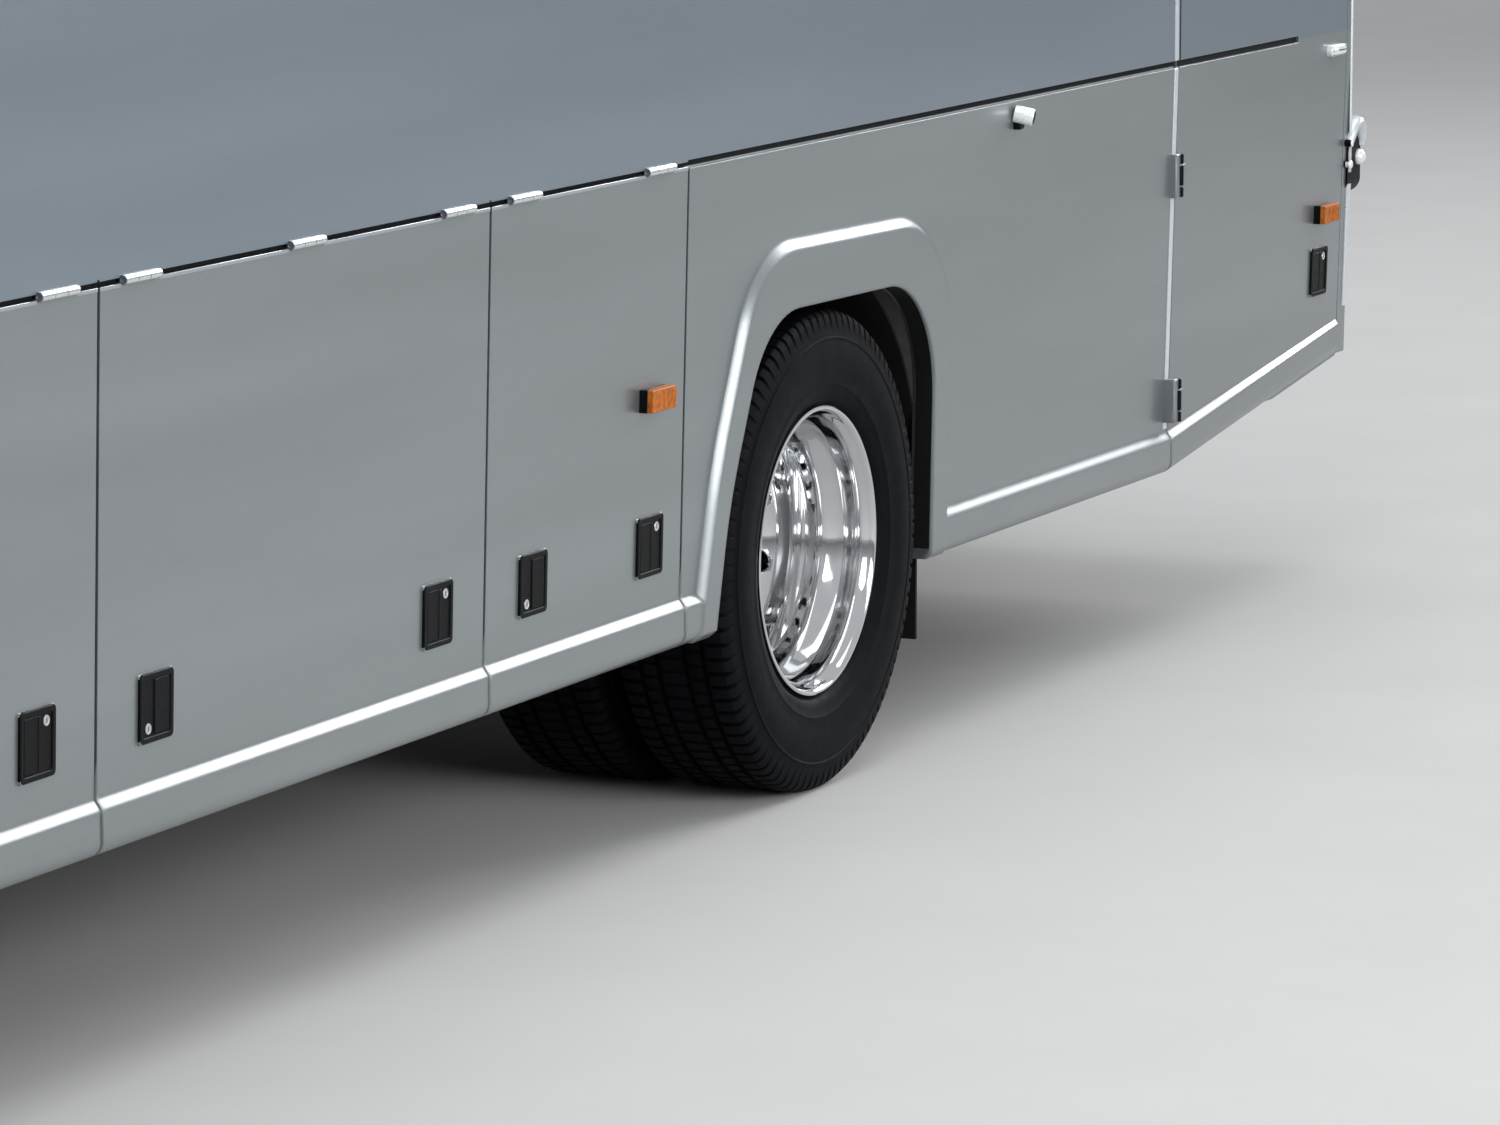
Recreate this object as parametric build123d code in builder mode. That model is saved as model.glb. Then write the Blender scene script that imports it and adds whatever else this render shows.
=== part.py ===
"""Touring coach, 12 m long, rear engined, on two axles with twin rear wheels.

Millimetres. +X forward, +Y to the left, +Z up. The origin is on the ground, at the middle of the overall box.
Places along the body are given as distances behind the rear axle, which aft() turns into X.
"""
import math
import os

from build123d import *

os.makedirs("parts", exist_ok=True)

# Overall size
wheelbase = 6133
front_overhang = 2700
rear_overhang = 3267
mirror_reach = 200
half_width = 1240
roof_height = 3540
lamp_reach = 32
overall = lamp_reach + rear_overhang + wheelbase + front_overhang + mirror_reach
x_tail = lamp_reach - overall / 2
x_rear_axle = x_tail + rear_overhang
x_front_axle = x_rear_axle + wheelbase
x_nose = x_front_axle + front_overhang

# Heights of the body's lines
skirt_bottom = 400
ledge_height = 489
belt_height = 1352
sill_height = 1930
window_top = 2960
cant_height = 3050
roof_edge_height = 3440

# Walls, gaps and glass
wall = 36
glass = 8
door_gap = 10
belt_gap = 16
belt_rail = 11
groove_deep = 8
rail_inset = 12
running = 0.05
seal_thick = 10

# Cross-section
skirt_tuck = 24
ledge_out = 12
ledge_rise = 16
skirt_round = 30
cant_half_width = 1205
roof_edge_half_width = 1185
roof_edge_radius = 280

# Plan and side silhouette
nose_sweep = 250
nose_corner_radius = 240
tail_sweep = 30
tail_corner_radius = 70
nose_tip_height = 900
nose_rake = 520
tail_tip_height = 1400
tail_lean = 60
departure_slope = 0.125

# Panel edges, as distances behind the rear axle
rear_door_front = 1991
rear_door_rear = 3162
rear_door_top = 1800
belt_groove_end = 2807
arch_panel_front = -685
luggage_doors = [(-4393, -2967, 3), (-2967, -1542, 3), (-1542, -685, 2)]
luggage_front = luggage_doors[0][0]
mask_length = 560
entry_door_width = 900
entry_door_top = 2960
entry_door_foot = 430

# Wheel arches: x forward of the axle, z, and corner radius, for the opening and the flare round it
arch_opening = [(556, 400, 0), (492, 660, 900), (330, 1020, 240), (-545, 1010, 265), (-557, 400, 0)]
flare_outline = [(628, 400, 0), (550, 745, 900), (368, 1158, 260), (-640, 1142, 290), (-650, 400, 0)]
flare_stand = 16
flare_bevel = 15
bevel_inset = 15

# Wheels
tyre_radius = 497
tyre_width = 276
tyre_bead = 284.3
tyre_bead_half = 101.6
tyre_belly = 450
tread_half = 112
inner_tread_half = 122
rim_radius = 298.5
rim_seat = 284
flange_thick = 12
disc_thick = 15
drive_hub_length = 70
rim_width = 236
wheel_face = 1215
twin_spacing = 311
axle_height = tyre_radius
front_wheel_face = 1190
kingpin_half = 930
kingpin_radius = 28
spindle_radius = 45
hand_holes = 10
hand_hole_circle = 207
hand_hole_radius = 20

# Hinges on the belt
hinge_length = 120
hinge_radius = 8
hinge_pin_radius = 4
hinge_lug = 14
hinge_edge = 70
hinge_axis_y = half_width + 2

# Rear service door hinges
post_radius = 9
post_length = 100
post_knuckle = 50
post_gap = 5
post_leaf = 30
post_heights = [573, 1095]
post_out = 4

# Handles
handle_width = 112
handle_height = 118
handle_stand = 4
handle_pocket = 12
handle_centre_height = 624
handle_rim = 10
lock_radius = 9
lock_in = 28
lock_up = 34
rear_handle_height = 770
rear_handle_edge = 154
handle_edge = 190
arch_handle_edge = 147

# Side markers and latches
marker_length = 105
marker_tall = 42
marker_out = 28
marker_height = 912
marker_edge = 145
rear_marker_edge = 140
latch_length = 100
latch_edge = 40
latch_out = 14
latch_heights = (1296, 1320)

# Windows
window_count = 6
window_pillar = 100
window_margin = 200
first_window_rear = x_tail + 480
last_window_front = x_nose - mask_length - entry_door_width - window_margin
window_pitch = (last_window_front + window_pillar - first_window_rear) / window_count
window_length = window_pitch - window_pillar
driver_window_length = 780
driver_window_sill = 1700
screen_half_width = 1080
screen_base = 1330

# Tail: screen, engine lid, bumper and lamps
rear_screen_half = 900
rear_screen_base = 2080
rear_screen_top = 2900
lid_half = 880
lid_bottom = 790
lid_top = 1880
lid_hinges = [-560, 560]
lid_hinge_length = 120
louvre_half = 600
louvre_count = 7
louvre_low = 930
louvre_pitch = 62
louvre_bar = 30
lid_axis_x = x_tail - 6
lid_axis_z = lid_top + 4
rear_bumper_bottom = 550
rear_bumper_top = 760
lamp_pod_half = 1196
lamp_pod_height = 1022
lamp_pod_size = (40, 80)
lamp_pod_out = 14
lamp_ball_radius = 16
lamp_boss_radius = 9
lamp_boss_heights = (1018, 1070)
lamp_boss_aft = 3179
tail_lamp_half = 1050
tail_lamp_radius = 55
tail_lamp_heights = (880, 1010, 1140)

# Side cameras
camera_aft = 997
camera_height = 1312
camera_out = 50
camera_radius = 12
camera_droop = 12
camera_base_radius = 17
camera_base = 9

# Nose: bumper, headlamps, wipers
bumper_top = 640
lamp_setback = 120
lamp_inner = 700
lamp_bottom = 700
lamp_top = 880
trim_out = 16
grille_half = 560
grille_bars = 6
grille_low = 770
grille_pitch = 84
grille_bar = 32
wiper_width = 26
wiper_length = 950
wiper_lean = 35
wiper_foot = 680
wiper_boss = 34
wiper_middle = screen_base - 60 + wiper_length / 2 * math.cos(math.radians(wiper_lean))
wiper_place = wiper_foot - wiper_length / 2 * math.sin(math.radians(wiper_lean))
mirror_arm = 22
mirror_bend = 120
entry_frame = 80
entry_glass_sill = 1100
roof_unit_x = (-2600, -400)
roof_unit_half = 850
roof_unit_top = 3690
fan_radius = 270
fan_deep = 30
fan_spacing = 1050

# Decks and frame
deck_top = belt_height + belt_gap / 2 - belt_rail
deck_thickness = 49
lip_bearing = 25
deck_half_width = half_width - wall - 9
bay_floor_top = 480
bay_floor_thickness = 20
rail_half = 420
rail_width = 80
low_rail_bottom = 400
high_rail_bottom = 760
high_rail_height = 120
bulkhead = 40
bulkhead_half_width = 1150
entry_floor_top = 780
entry_floor_thickness = 40

x_step = x_nose - mask_length - entry_door_width
step_edges = (560, 860)
step_heights = (620, 500)
arch_clear = 660
front_rail_bottom = 655
bulkheads = [
    x_rear_axle - luggage_doors[2][1] - bulkhead / 2,
    x_rear_axle - luggage_doors[1][1],
    x_rear_axle - luggage_doors[0][1],
    x_rear_axle - luggage_doors[0][0] + bulkhead / 2,
]
risers = [x_tail + 300, x_rear_axle + 620]
eyes = [
    (x_nose - 220, 440, -1, front_rail_bottom + rail_width),
    (x_tail + 160, 610, 1, high_rail_bottom + rail_width),
]
eye_thickness = 30
eye_radius = 25
engine_half = 350
engine_bottom = 450
engine_x = (x_tail + 420, x_tail + 1900)

rear_liner_inner = 620
front_liner_inner = 470
liner_radius = 592
liner_thick = 8
flap_bottom = 220
flap_inner = 760
flap_outer = half_width - wall - skirt_tuck - 1

# Seats
driver_y = 620
seat_pitch = 790
first_seat = x_tail + 700
seat_rows = int((x_step - first_seat - 600) / seat_pitch) + 1
seat_half_gap = 250
seat_pair_width = 900
cushion_top = 430
cushion_thick = 130
cushion_depth = 420
cushion_forward = 80
seat_back_top = 1130
driver_cushion_top = 450
driver_cushion_thick = 120
driver_back_top = 1150
driver_seat_half = 240
dash_right = 430
wheel_rim_radius = 225
wheel_rim_tube = 18


def aft(distance):
    """X of a place measured behind the rear axle."""
    return x_rear_axle - distance


def side_at(z):
    """Half width of the outer side plane at height z, below the belt."""
    return half_width - skirt_tuck * (belt_height - z) / (belt_height - skirt_bottom)


def span(x, y, z, mode=Mode.ADD):
    """A box from one corner to the other, given as three pairs of limits."""
    with Locations((sum(x) / 2, sum(y) / 2, sum(z) / 2)):
        Box(abs(x[1] - x[0]), abs(y[1] - y[0]), abs(z[1] - z[0]), mode=mode)


def save(part, label):
    """Labels a finished piece and writes its file."""
    part.label = label
    export_step(part, f"parts/{label}.step")


def body_section(inset):
    """The coach across its width, as a sketch that faces along X."""
    with BuildSketch() as sketch:
        with BuildLine():
            right = Polyline(
                (side_at(skirt_bottom), skirt_bottom),
                (half_width, belt_height),
                (half_width, sill_height),
                (cant_half_width, cant_height),
                (roof_edge_half_width, roof_edge_height),
            )
            left = mirror(right, about=Plane.YZ)
            ThreePointArc(right @ 1, (0, roof_height), (-roof_edge_half_width, roof_edge_height))
            Line(right @ 0, (-side_at(skirt_bottom), skirt_bottom))
        make_face()
        edges = [v for v in sketch.vertices() if v.Y > cant_height + 1]
        fillet(edges, roof_edge_radius)
        if inset > 0:
            offset(amount=-inset)
            with Locations((0, skirt_bottom)):
                Rectangle(2 * (side_at(skirt_bottom) - inset), 4 * inset)
        if inset < 0:
            offset(amount=-inset)
    return sketch.sketch_local


def body_plan(inset):
    """The coach seen from above, with its swept nose and tail."""
    reach = half_width - inset + 2
    with BuildSketch() as sketch:
        with BuildLine():
            front = x_nose - inset
            rear = x_tail + inset
            ThreePointArc((front - nose_sweep, reach), (front, 0), (front - nose_sweep, -reach))
            Line((front - nose_sweep, -reach), (rear + tail_sweep, -reach))
            ThreePointArc((rear + tail_sweep, -reach), (rear, 0), (rear + tail_sweep, reach))
            Line((rear + tail_sweep, reach), (front - nose_sweep, reach))
        make_face()
        nose = [v for v in sketch.vertices() if v.X > 0]
        fillet(nose, nose_corner_radius - inset)
        tail = [v for v in sketch.vertices() if v.X < rear + tail_sweep + 1]
        fillet(tail, tail_corner_radius - inset)
    return sketch.sketch_local


def body_side(inset):
    """The coach seen from the side, with its bowed nose and leaning tail."""
    low = skirt_bottom - 200
    high = roof_height + 200
    front = x_nose - inset
    rear = x_tail + inset
    with BuildSketch() as sketch:
        with BuildLine():
            ThreePointArc((front - 30, low), (front, nose_tip_height), (front - nose_rake, high))
            Line((front - nose_rake, high), (rear + tail_lean, high))
            ThreePointArc((rear + tail_lean, high), (rear, tail_tip_height), (rear + 30, low))
            Line((rear + 30, low), (front - 30, low))
        make_face()
    return sketch.sketch_local


def body_solid(inset):
    """The whole coach as one block, drawn in by the inset."""
    with BuildPart() as body:
        with BuildSketch(Plane.YZ.offset(x_tail - 100)):
            add(body_section(inset))
        extrude(amount=overall + 200)
        with BuildSketch():
            add(body_plan(inset))
        extrude(amount=roof_height + 100, mode=Mode.INTERSECT)
        with BuildSketch(Plane.XZ):
            add(body_side(inset))
        extrude(amount=half_width + 100, both=True, mode=Mode.INTERSECT)
    return body.part


def ring_outline(points):
    """A closed outline in side view, with its corners rounded by the third column."""
    with BuildSketch() as sketch:
        with BuildLine():
            Polyline(*[(x, z) for x, z, radius in points], close=True)
        make_face()
        for x, z, radius in points:
            if radius:
                corner = [v for v in sketch.vertices() if abs(v.X - x) < 1 and abs(v.Y - z) < 1]
                fillet(corner, radius)
    return sketch.sketch_local


outer = body_solid(0)
inner = body_solid(wall)
lining = body_solid(wall - seal_thick)
with BuildPart() as shell_build:
    add(outer)
    add(inner, mode=Mode.SUBTRACT)
shell = shell_build.part
with BuildPart() as pane_build:
    add(outer)
    add(body_solid(glass), mode=Mode.SUBTRACT)
pane_shell = pane_build.part
with BuildPart() as trim_build:
    add(body_solid(-trim_out))
    add(outer, mode=Mode.SUBTRACT)
trim_shell = trim_build.part

sides = [("left", 1), ("right", -1)]
belt_low = belt_height - belt_gap / 2
belt_high = belt_height + belt_gap / 2
x_mask = x_nose - mask_length
x_entry_rear = x_mask - entry_door_width
x_side_rear = aft(rear_door_rear)
far = overall


def shell_piece(source, x, y, z):
    """The stretch of a shell inside one box."""
    with BuildPart() as piece:
        add(source)
        span(x, y, z, Mode.INTERSECT)
    return piece.part.fix()


def side_view_block(outline, y, mode=Mode.ADD):
    """A side view outline, in X and Z, made solid between two values of Y."""
    with BuildSketch(Plane.XZ.offset(-min(y))) as block:
        add(outline)
    extrude(block.sketch, amount=-abs(y[1] - y[0]), mode=mode)


def skirt_strip(x, side, rise):
    """The ledge and the rounded foot of the skirt, from x[0] back to x[1], rising towards the tail."""
    low = ledge_height - ledge_rise / 2
    high = ledge_height + ledge_rise / 2
    foot = side_at(low) + ledge_out
    back = side_at(high) - wall
    with BuildSketch(Plane(origin=(x[0], 0, 0), x_dir=(0, 1, 0), z_dir=(1, 0, 0))) as strip:
        with BuildLine():
            Polyline((back, skirt_bottom), (back, high), (side_at(high), high), (foot, low))
            Line((foot, low), (foot, skirt_bottom + skirt_round))
            RadiusArc((foot, skirt_bottom + skirt_round), (foot - skirt_round, skirt_bottom), skirt_round)
            Line((foot - skirt_round, skirt_bottom), (back, skirt_bottom))
        make_face()
        if side < 0:
            mirror(about=Plane.YZ, mode=Mode.REPLACE)
    extrude(strip.sketch, amount=x[0] - x[1], dir=(-1, 0, rise))


def lower_panel(x, side):
    """A plain lower wall panel with its ledge, from x[0] back to x[1]."""
    with BuildPart() as panel:
        add(shell_piece(shell, x, (0, side * far), (ledge_height, belt_low)))
        skirt_strip(x, side, 0)
    return panel.part


def tongue(x, side):
    """The strip behind the belt gap that joins a fixed lower panel to the wall above."""
    inner_face = half_width - wall
    span(x, (side * inner_face, side * (half_width - rail_inset)), (belt_low, deck_top))


def handle(x, z, side, turn):
    """A sunk handle centred on x and z, with its rim, lever and lock. Turn is -1 where it is inverted."""
    face = side_at(z)
    rim_x = (x - handle_width / 2, x + handle_width / 2)
    rim_z = (z - handle_height / 2, z + handle_height / 2)
    span(rim_x, (side * (face - wall / 2), side * (face + handle_stand)), rim_z)
    pocket_x = (rim_x[0] + handle_rim, rim_x[1] - handle_rim)
    pocket_z = (rim_z[0] + handle_rim, rim_z[1] - handle_rim)
    span(pocket_x, (side * (face - handle_pocket), side * (face + wall)), pocket_z, Mode.SUBTRACT)
    lever_x = (x - turn * 4, x + turn * (handle_width / 2 - handle_rim))
    span(lever_x, (side * (face - handle_pocket), side * (face + handle_stand / 2)), pocket_z)
    lock = (x - turn * lock_in, side * (face - handle_pocket / 2), z + turn * lock_up)
    with Locations(Location(lock, (90, 0, 0))):
        Cylinder(lock_radius, handle_pocket)


def marker(x, side):
    """A side marker lamp on its base, centred on x."""
    face = side_at(marker_height)
    base = (x - marker_length / 2, x + marker_length / 2)
    z = (marker_height - marker_tall / 2, marker_height + marker_tall / 2)
    span(base, (side * (face - 5), side * (face + marker_out)), z)


def arch_cut(x_axle, side):
    """Cuts a wheel's opening right through the wall and the flare."""
    outline = ring_outline([(x_axle + x, z - 60 * (z < 500), radius) for x, z, radius in arch_opening])
    side_view_block(outline, (side * (half_width - 120), side * (half_width + 120)), Mode.SUBTRACT)


def flare(x_axle, side):
    """The band round a wheel opening, bevelled at its outer edge, leaning in with the wall below the belt."""
    outline = ring_outline([(x_axle + x, z, radius) for x, z, radius in flare_outline])
    foot = half_width + flare_stand - flare_bevel
    slope = math.degrees(math.atan(bevel_inset / flare_bevel))
    with BuildPart() as band:
        side_view_block(outline, (side * (half_width - wall), side * foot))
        with BuildSketch(Plane.XZ.offset(-side * foot)) as edge:
            add(outline)
        extrude(edge.sketch, amount=-side * flare_bevel, taper=slope)
    belt_line = Axis((0, side * half_width, belt_height), (1, 0, 0))
    lean = math.degrees(math.atan(skirt_tuck / (belt_height - skirt_bottom)))
    add(band.part.rotate(belt_line, -side * lean))


# Skin, split at the real panel edges
windows = []
for i in range(window_count):
    rear = first_window_rear + i * window_pitch
    windows.append((rear, rear + window_length, sill_height))
driver_window = (x_mask - 60 - driver_window_length, x_mask - 60, driver_window_sill)
x_screen = x_tail + 400

for word, side in sides:
    upper_front = x_mask if side > 0 else x_entry_rear - door_gap / 2
    with BuildPart() as side_wall:
        add(shell_piece(shell, (x_side_rear, upper_front), (0, side * far), (belt_high, cant_height)))
        lip_y = (side * (deck_half_width - lip_bearing), side * (half_width - rail_inset))
        span((x_side_rear, upper_front), lip_y, (deck_top, belt_high))
        span(
            (x_side_rear - 1, aft(rear_door_front) + door_gap / 2),
            (side * (half_width - 200), side * (half_width + 50)),
            (deck_top - 1, rear_door_top),
            Mode.SUBTRACT,
        )
        openings = windows + [driver_window] if side > 0 else windows
        for rear, front, sill in openings:
            span((rear, front), (side * 900, side * far), (sill, window_top), Mode.SUBTRACT)
    save(side_wall.part, f"side_wall_{word}")

    with BuildPart() as arch_panels:
        for x_axle, front, rear in [
            (x_rear_axle, aft(arch_panel_front) - door_gap / 2, aft(rear_door_front) + door_gap / 2),
            (x_front_axle, upper_front, aft(luggage_front) + door_gap / 2),
        ]:
            add(lower_panel((front, rear), side))
            tongue((front, rear), side)
            flare(x_axle, side)
            arch_cut(x_axle, side)
        for height in post_heights:
            post_place = (aft(rear_door_front), side * (half_width + post_out))
            lug = (post_length - post_knuckle) / 2 - post_gap
            leaf_x = (post_place[0] + post_radius - 4, post_place[0] + post_leaf)
            leaf_y = (side * (side_at(height) - wall / 2), side * (half_width + post_out + post_radius / 2))
            for end in (-1, 1):
                z = height + end * (post_length - lug) / 2
                with Locations((*post_place, z)):
                    Cylinder(post_radius, lug)
                span(leaf_x, leaf_y, (z - lug / 2, z + lug / 2))
            with Locations((*post_place, height)):
                Cylinder(hinge_pin_radius, post_length)
    save(arch_panels.part, f"arch_panels_{word}")

    for i, (front, rear, hinges) in enumerate(luggage_doors):
        x_front = aft(front) - door_gap / 2
        x_rear = aft(rear) + door_gap / 2
        rear_edge = handle_edge if hinges > 2 else arch_handle_edge
        handle_places = [(x_rear + rear_edge, 1), (x_front - handle_edge, -1)]
        with BuildPart() as door:
            add(lower_panel((x_front, x_rear), side))
            for x, turn in handle_places:
                handle(x, handle_centre_height, side, turn)
            if hinges == 2:
                marker(x_rear + marker_edge, side)
            for k in range(hinges):
                step = (x_front - x_rear - 2 * hinge_edge - hinge_length) / (hinges - 1)
                x = x_rear + hinge_edge + hinge_length / 2 + k * step
                with Locations(Location((x, side * hinge_axis_y, belt_height), (0, 90, 0))):
                    Cylinder(hinge_radius, hinge_length)
                leaf = (x - hinge_length / 2, x + hinge_length / 2)
                leaf_y = (side * (half_width - 10), side * (half_width - 2))
                span(leaf, leaf_y, (belt_low - 30, belt_height - 4))
                leaf_y = (side * (hinge_axis_y - hinge_radius / 2), side * (hinge_axis_y + hinge_radius / 2))
                span(leaf, leaf_y, (belt_height - hinge_radius, belt_height - 4))
                with Locations(Location((x, side * hinge_axis_y, belt_height), (0, 90, 0))):
                    Cylinder(hinge_pin_radius + running, hinge_length + 2, mode=Mode.SUBTRACT)
        save(door.part, f"luggage_door_{word}_{i + 1}")

    with BuildPart() as service_door:
        x_front = aft(rear_door_front) - door_gap / 2
        x_rear = x_side_rear + door_gap / 2
        add(shell_piece(shell, (x_front, x_rear), (0, side * far), (ledge_height, rear_door_top - door_gap)))
        groove_x = (x_front, aft(belt_groove_end))
        span(groove_x, (side * (half_width - groove_deep), side * far), (belt_low, belt_high), Mode.SUBTRACT)
        skirt_strip((x_front, x_rear), side, departure_slope)
        rise = (x_front - x_rear) * departure_slope
        below = ring_outline(
            [(x_front, 0, 0), (x_front, skirt_bottom, 0), (x_rear, skirt_bottom + rise, 0), (x_rear, 0, 0)]
        )
        side_view_block(below, (0, side * far), Mode.SUBTRACT)
        for height in post_heights:
            post_place = (aft(rear_door_front), side * (half_width + post_out), height)
            leaf_y = (side * (side_at(height) - wall / 2), side * (half_width + post_out + post_radius / 2))
            z = (height - post_knuckle / 2, height + post_knuckle / 2)
            span((post_place[0] - post_leaf, post_place[0] - post_radius + 4), leaf_y, z)
            with Locations(post_place):
                Cylinder(post_radius, post_knuckle)
            with Locations(post_place):
                Cylinder(hinge_pin_radius + running, post_knuckle + 2, mode=Mode.SUBTRACT)
        latch_x = (aft(rear_door_rear) + latch_edge, aft(rear_door_rear) + latch_edge + latch_length)
        span(latch_x, (side * (half_width - 5), side * (half_width + latch_out)), latch_heights)
        handle(x_rear + rear_handle_edge, rear_handle_height, side, 1)
        marker(x_rear + rear_marker_edge, side)
    save(service_door.part, f"service_door_{word}")

# Roof, nose and tail
screen = ((x_nose - 1000, far), (-screen_half_width, screen_half_width), (screen_base, window_top))
rear_glass_z = (rear_screen_base, rear_screen_top)
rear_screen = ((-far, x_screen), (-rear_screen_half, rear_screen_half), rear_glass_z)
lid_hole = ((-far, x_screen), (-lid_half, lid_half), (lid_bottom, lid_top))
entry_glass = (
    (x_entry_rear + entry_frame, x_mask - entry_frame),
    (-900, -far),
    (entry_glass_sill, entry_door_top - entry_frame),
)
lamp_holes = []
for word, side in sides:
    lamp_y = (side * lamp_inner, side * far)
    lamp_holes.append(((x_mask + lamp_setback, far), lamp_y, (lamp_bottom, lamp_top)))

with BuildPart() as roof:
    add(shell_piece(shell, (-far, far), (-far, far), (cant_height, far)))
save(roof.part, "roof")

with BuildPart() as grille:
    with BuildSketch(Plane.YZ) as bars:
        with Locations(*[(0, grille_low + k * grille_pitch) for k in range(grille_bars)]):
            Rectangle(2 * grille_half, grille_bar)
    extrude(bars.sketch, amount=far)
    add(trim_shell, mode=Mode.INTERSECT)

with BuildPart() as front_mask:
    add(shell_piece(shell, (x_entry_rear - door_gap / 2, far), (-far, far), (bumper_top, cant_height)))
    span((0, x_mask), (0, far), (0, cant_height + 1), Mode.SUBTRACT)
    span((0, x_mask), (-far, 1), (0, entry_door_top), Mode.SUBTRACT)
    span(*screen, Mode.SUBTRACT)
    for hole in lamp_holes:
        span(*hole, Mode.SUBTRACT)
    add(grille.part)
save(front_mask.part.fix(), "front_mask")

with BuildPart() as front_bumper:
    add(shell_piece(shell, (x_mask, far), (-far, far), (skirt_bottom, bumper_top)))
save(front_bumper.part, "front_bumper")

with BuildPart() as headlamps:
    for hole in lamp_holes:
        add(shell_piece(shell, *hole))
save(headlamps.part, "headlamps")

with BuildPart() as rear_panel:
    add(shell_piece(shell, (-far, x_side_rear), (-far, far), (rear_bumper_top, cant_height)))
    span(*rear_screen, Mode.SUBTRACT)
    span(*lid_hole, Mode.SUBTRACT)
    for y in lid_hinges:
        for end in (-1, 1):
            lug = y + end * (lid_hinge_length / 2 + hinge_lug / 2 + 2)
            reach = (lug - hinge_lug / 2, lug + hinge_lug / 2)
            span((lid_axis_x - 10, x_tail + 30), reach, (lid_top, lid_top + 24))
    add(inner, mode=Mode.SUBTRACT)
    for y in lid_hinges:
        with Locations(Location((lid_axis_x, y, lid_axis_z), (90, 0, 0))):
            Cylinder(hinge_pin_radius, lid_hinge_length + 2 * hinge_lug)
save(rear_panel.part, "rear_panel")

with BuildPart() as louvres:
    with BuildSketch(Plane.YZ) as bars:
        with Locations(*[(0, louvre_low + k * louvre_pitch) for k in range(louvre_count)]):
            Rectangle(2 * louvre_half, louvre_bar)
    extrude(bars.sketch, amount=-far)
    add(trim_shell, mode=Mode.INTERSECT)

with BuildPart() as engine_lid:
    lid_y = (-lid_half + door_gap / 2, lid_half - door_gap / 2)
    add(shell_piece(shell, (-far, x_tail + 400), lid_y, (lid_bottom + door_gap / 2, lid_top - door_gap)))
    for y in lid_hinges:
        reach = (y - lid_hinge_length / 2, y + lid_hinge_length / 2)
        span((lid_axis_x - 8, x_tail + 20), reach, (lid_top - 50, lid_axis_z - hinge_radius / 2))
        with Locations(Location((lid_axis_x, y, lid_axis_z), (90, 0, 0))):
            Cylinder(hinge_radius, lid_hinge_length)
        with Locations(Location((lid_axis_x, y, lid_axis_z), (90, 0, 0))):
            Cylinder(hinge_pin_radius + running, lid_hinge_length + 2, mode=Mode.SUBTRACT)
    add(louvres.part)
save(engine_lid.part, "engine_lid")

with BuildPart() as rear_bumper:
    add(shell_piece(shell, (-far, x_side_rear), (-far, far), (rear_bumper_bottom, rear_bumper_top)))
save(rear_bumper.part, "rear_bumper")

with BuildPart() as entry_door:
    door_x = (x_entry_rear + door_gap / 2, x_mask - door_gap / 2)
    add(shell_piece(shell, door_x, (-far, 0), (entry_door_foot, entry_door_top - door_gap)))
    seal_x = (x_entry_rear - door_gap / 2, x_mask)
    seal = shell_piece(shell, seal_x, (-far, 0), (entry_door_foot, entry_door_top))
    add(seal.intersect(lining))
    span(*entry_glass, Mode.SUBTRACT)
save(entry_door.part, "entry_door")

with BuildPart() as glazing:
    add(shell_piece(pane_shell, *screen))
    add(shell_piece(pane_shell, *rear_screen))
    add(shell_piece(pane_shell, *entry_glass))
    for rear, front, sill in windows:
        for word, side in sides:
            add(shell_piece(pane_shell, (rear, front), (side * 900, side * far), (sill, window_top)))
    rear, front, sill = driver_window
    add(shell_piece(pane_shell, (rear, front), (900, far), (sill, window_top)))
save(glazing.part, "glazing")

with BuildPart() as tail_lamps:
    with BuildSketch(Plane.YZ) as rounds:
        with Locations(*[(side * tail_lamp_half, z) for word, side in sides for z in tail_lamp_heights]):
            Circle(tail_lamp_radius)
    extrude(rounds.sketch, amount=-far)
    add(trim_shell, mode=Mode.INTERSECT)
    with BuildSketch(Plane.YZ.offset(x_tail + lamp_pod_size[1])) as pods:
        with Locations(*[(side * lamp_pod_half, lamp_pod_height) for word, side in sides]):
            RectangleRounded(2 * lamp_pod_size[0], 2 * lamp_pod_size[1], lamp_pod_size[0] - 4)
    extrude(pods.sketch, amount=-lamp_pod_size[1] - lamp_pod_out)
    for word, side in sides:
        ball_y = side * (lamp_pod_half + lamp_ball_radius / 2)
        with Locations((x_tail - lamp_reach + lamp_ball_radius, ball_y, lamp_pod_height)):
            Sphere(lamp_ball_radius)
        for z in lamp_boss_heights:
            with Locations(Location((aft(lamp_boss_aft), side * half_width, z), (90, 0, 0))):
                Cylinder(lamp_boss_radius, 2 * lamp_boss_radius)
    add(outer, mode=Mode.SUBTRACT)
save(tail_lamps.part, "tail_lamps")

with BuildPart() as wipers:
    for side in (-1, 1):
        with BuildSketch(Plane.YZ) as blade:
            with Locations((side * wiper_place, wiper_middle)):
                Rectangle(wiper_width, wiper_length, rotation=side * wiper_lean)
            with Locations((side * wiper_foot, screen_base - 60)):
                Circle(wiper_boss)
        extrude(blade.sketch, amount=far)
    add(trim_shell, mode=Mode.INTERSECT)
    span((-far, 0), (-far, far), (0, far), Mode.SUBTRACT)
save(wipers.part, "wipers")

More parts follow.
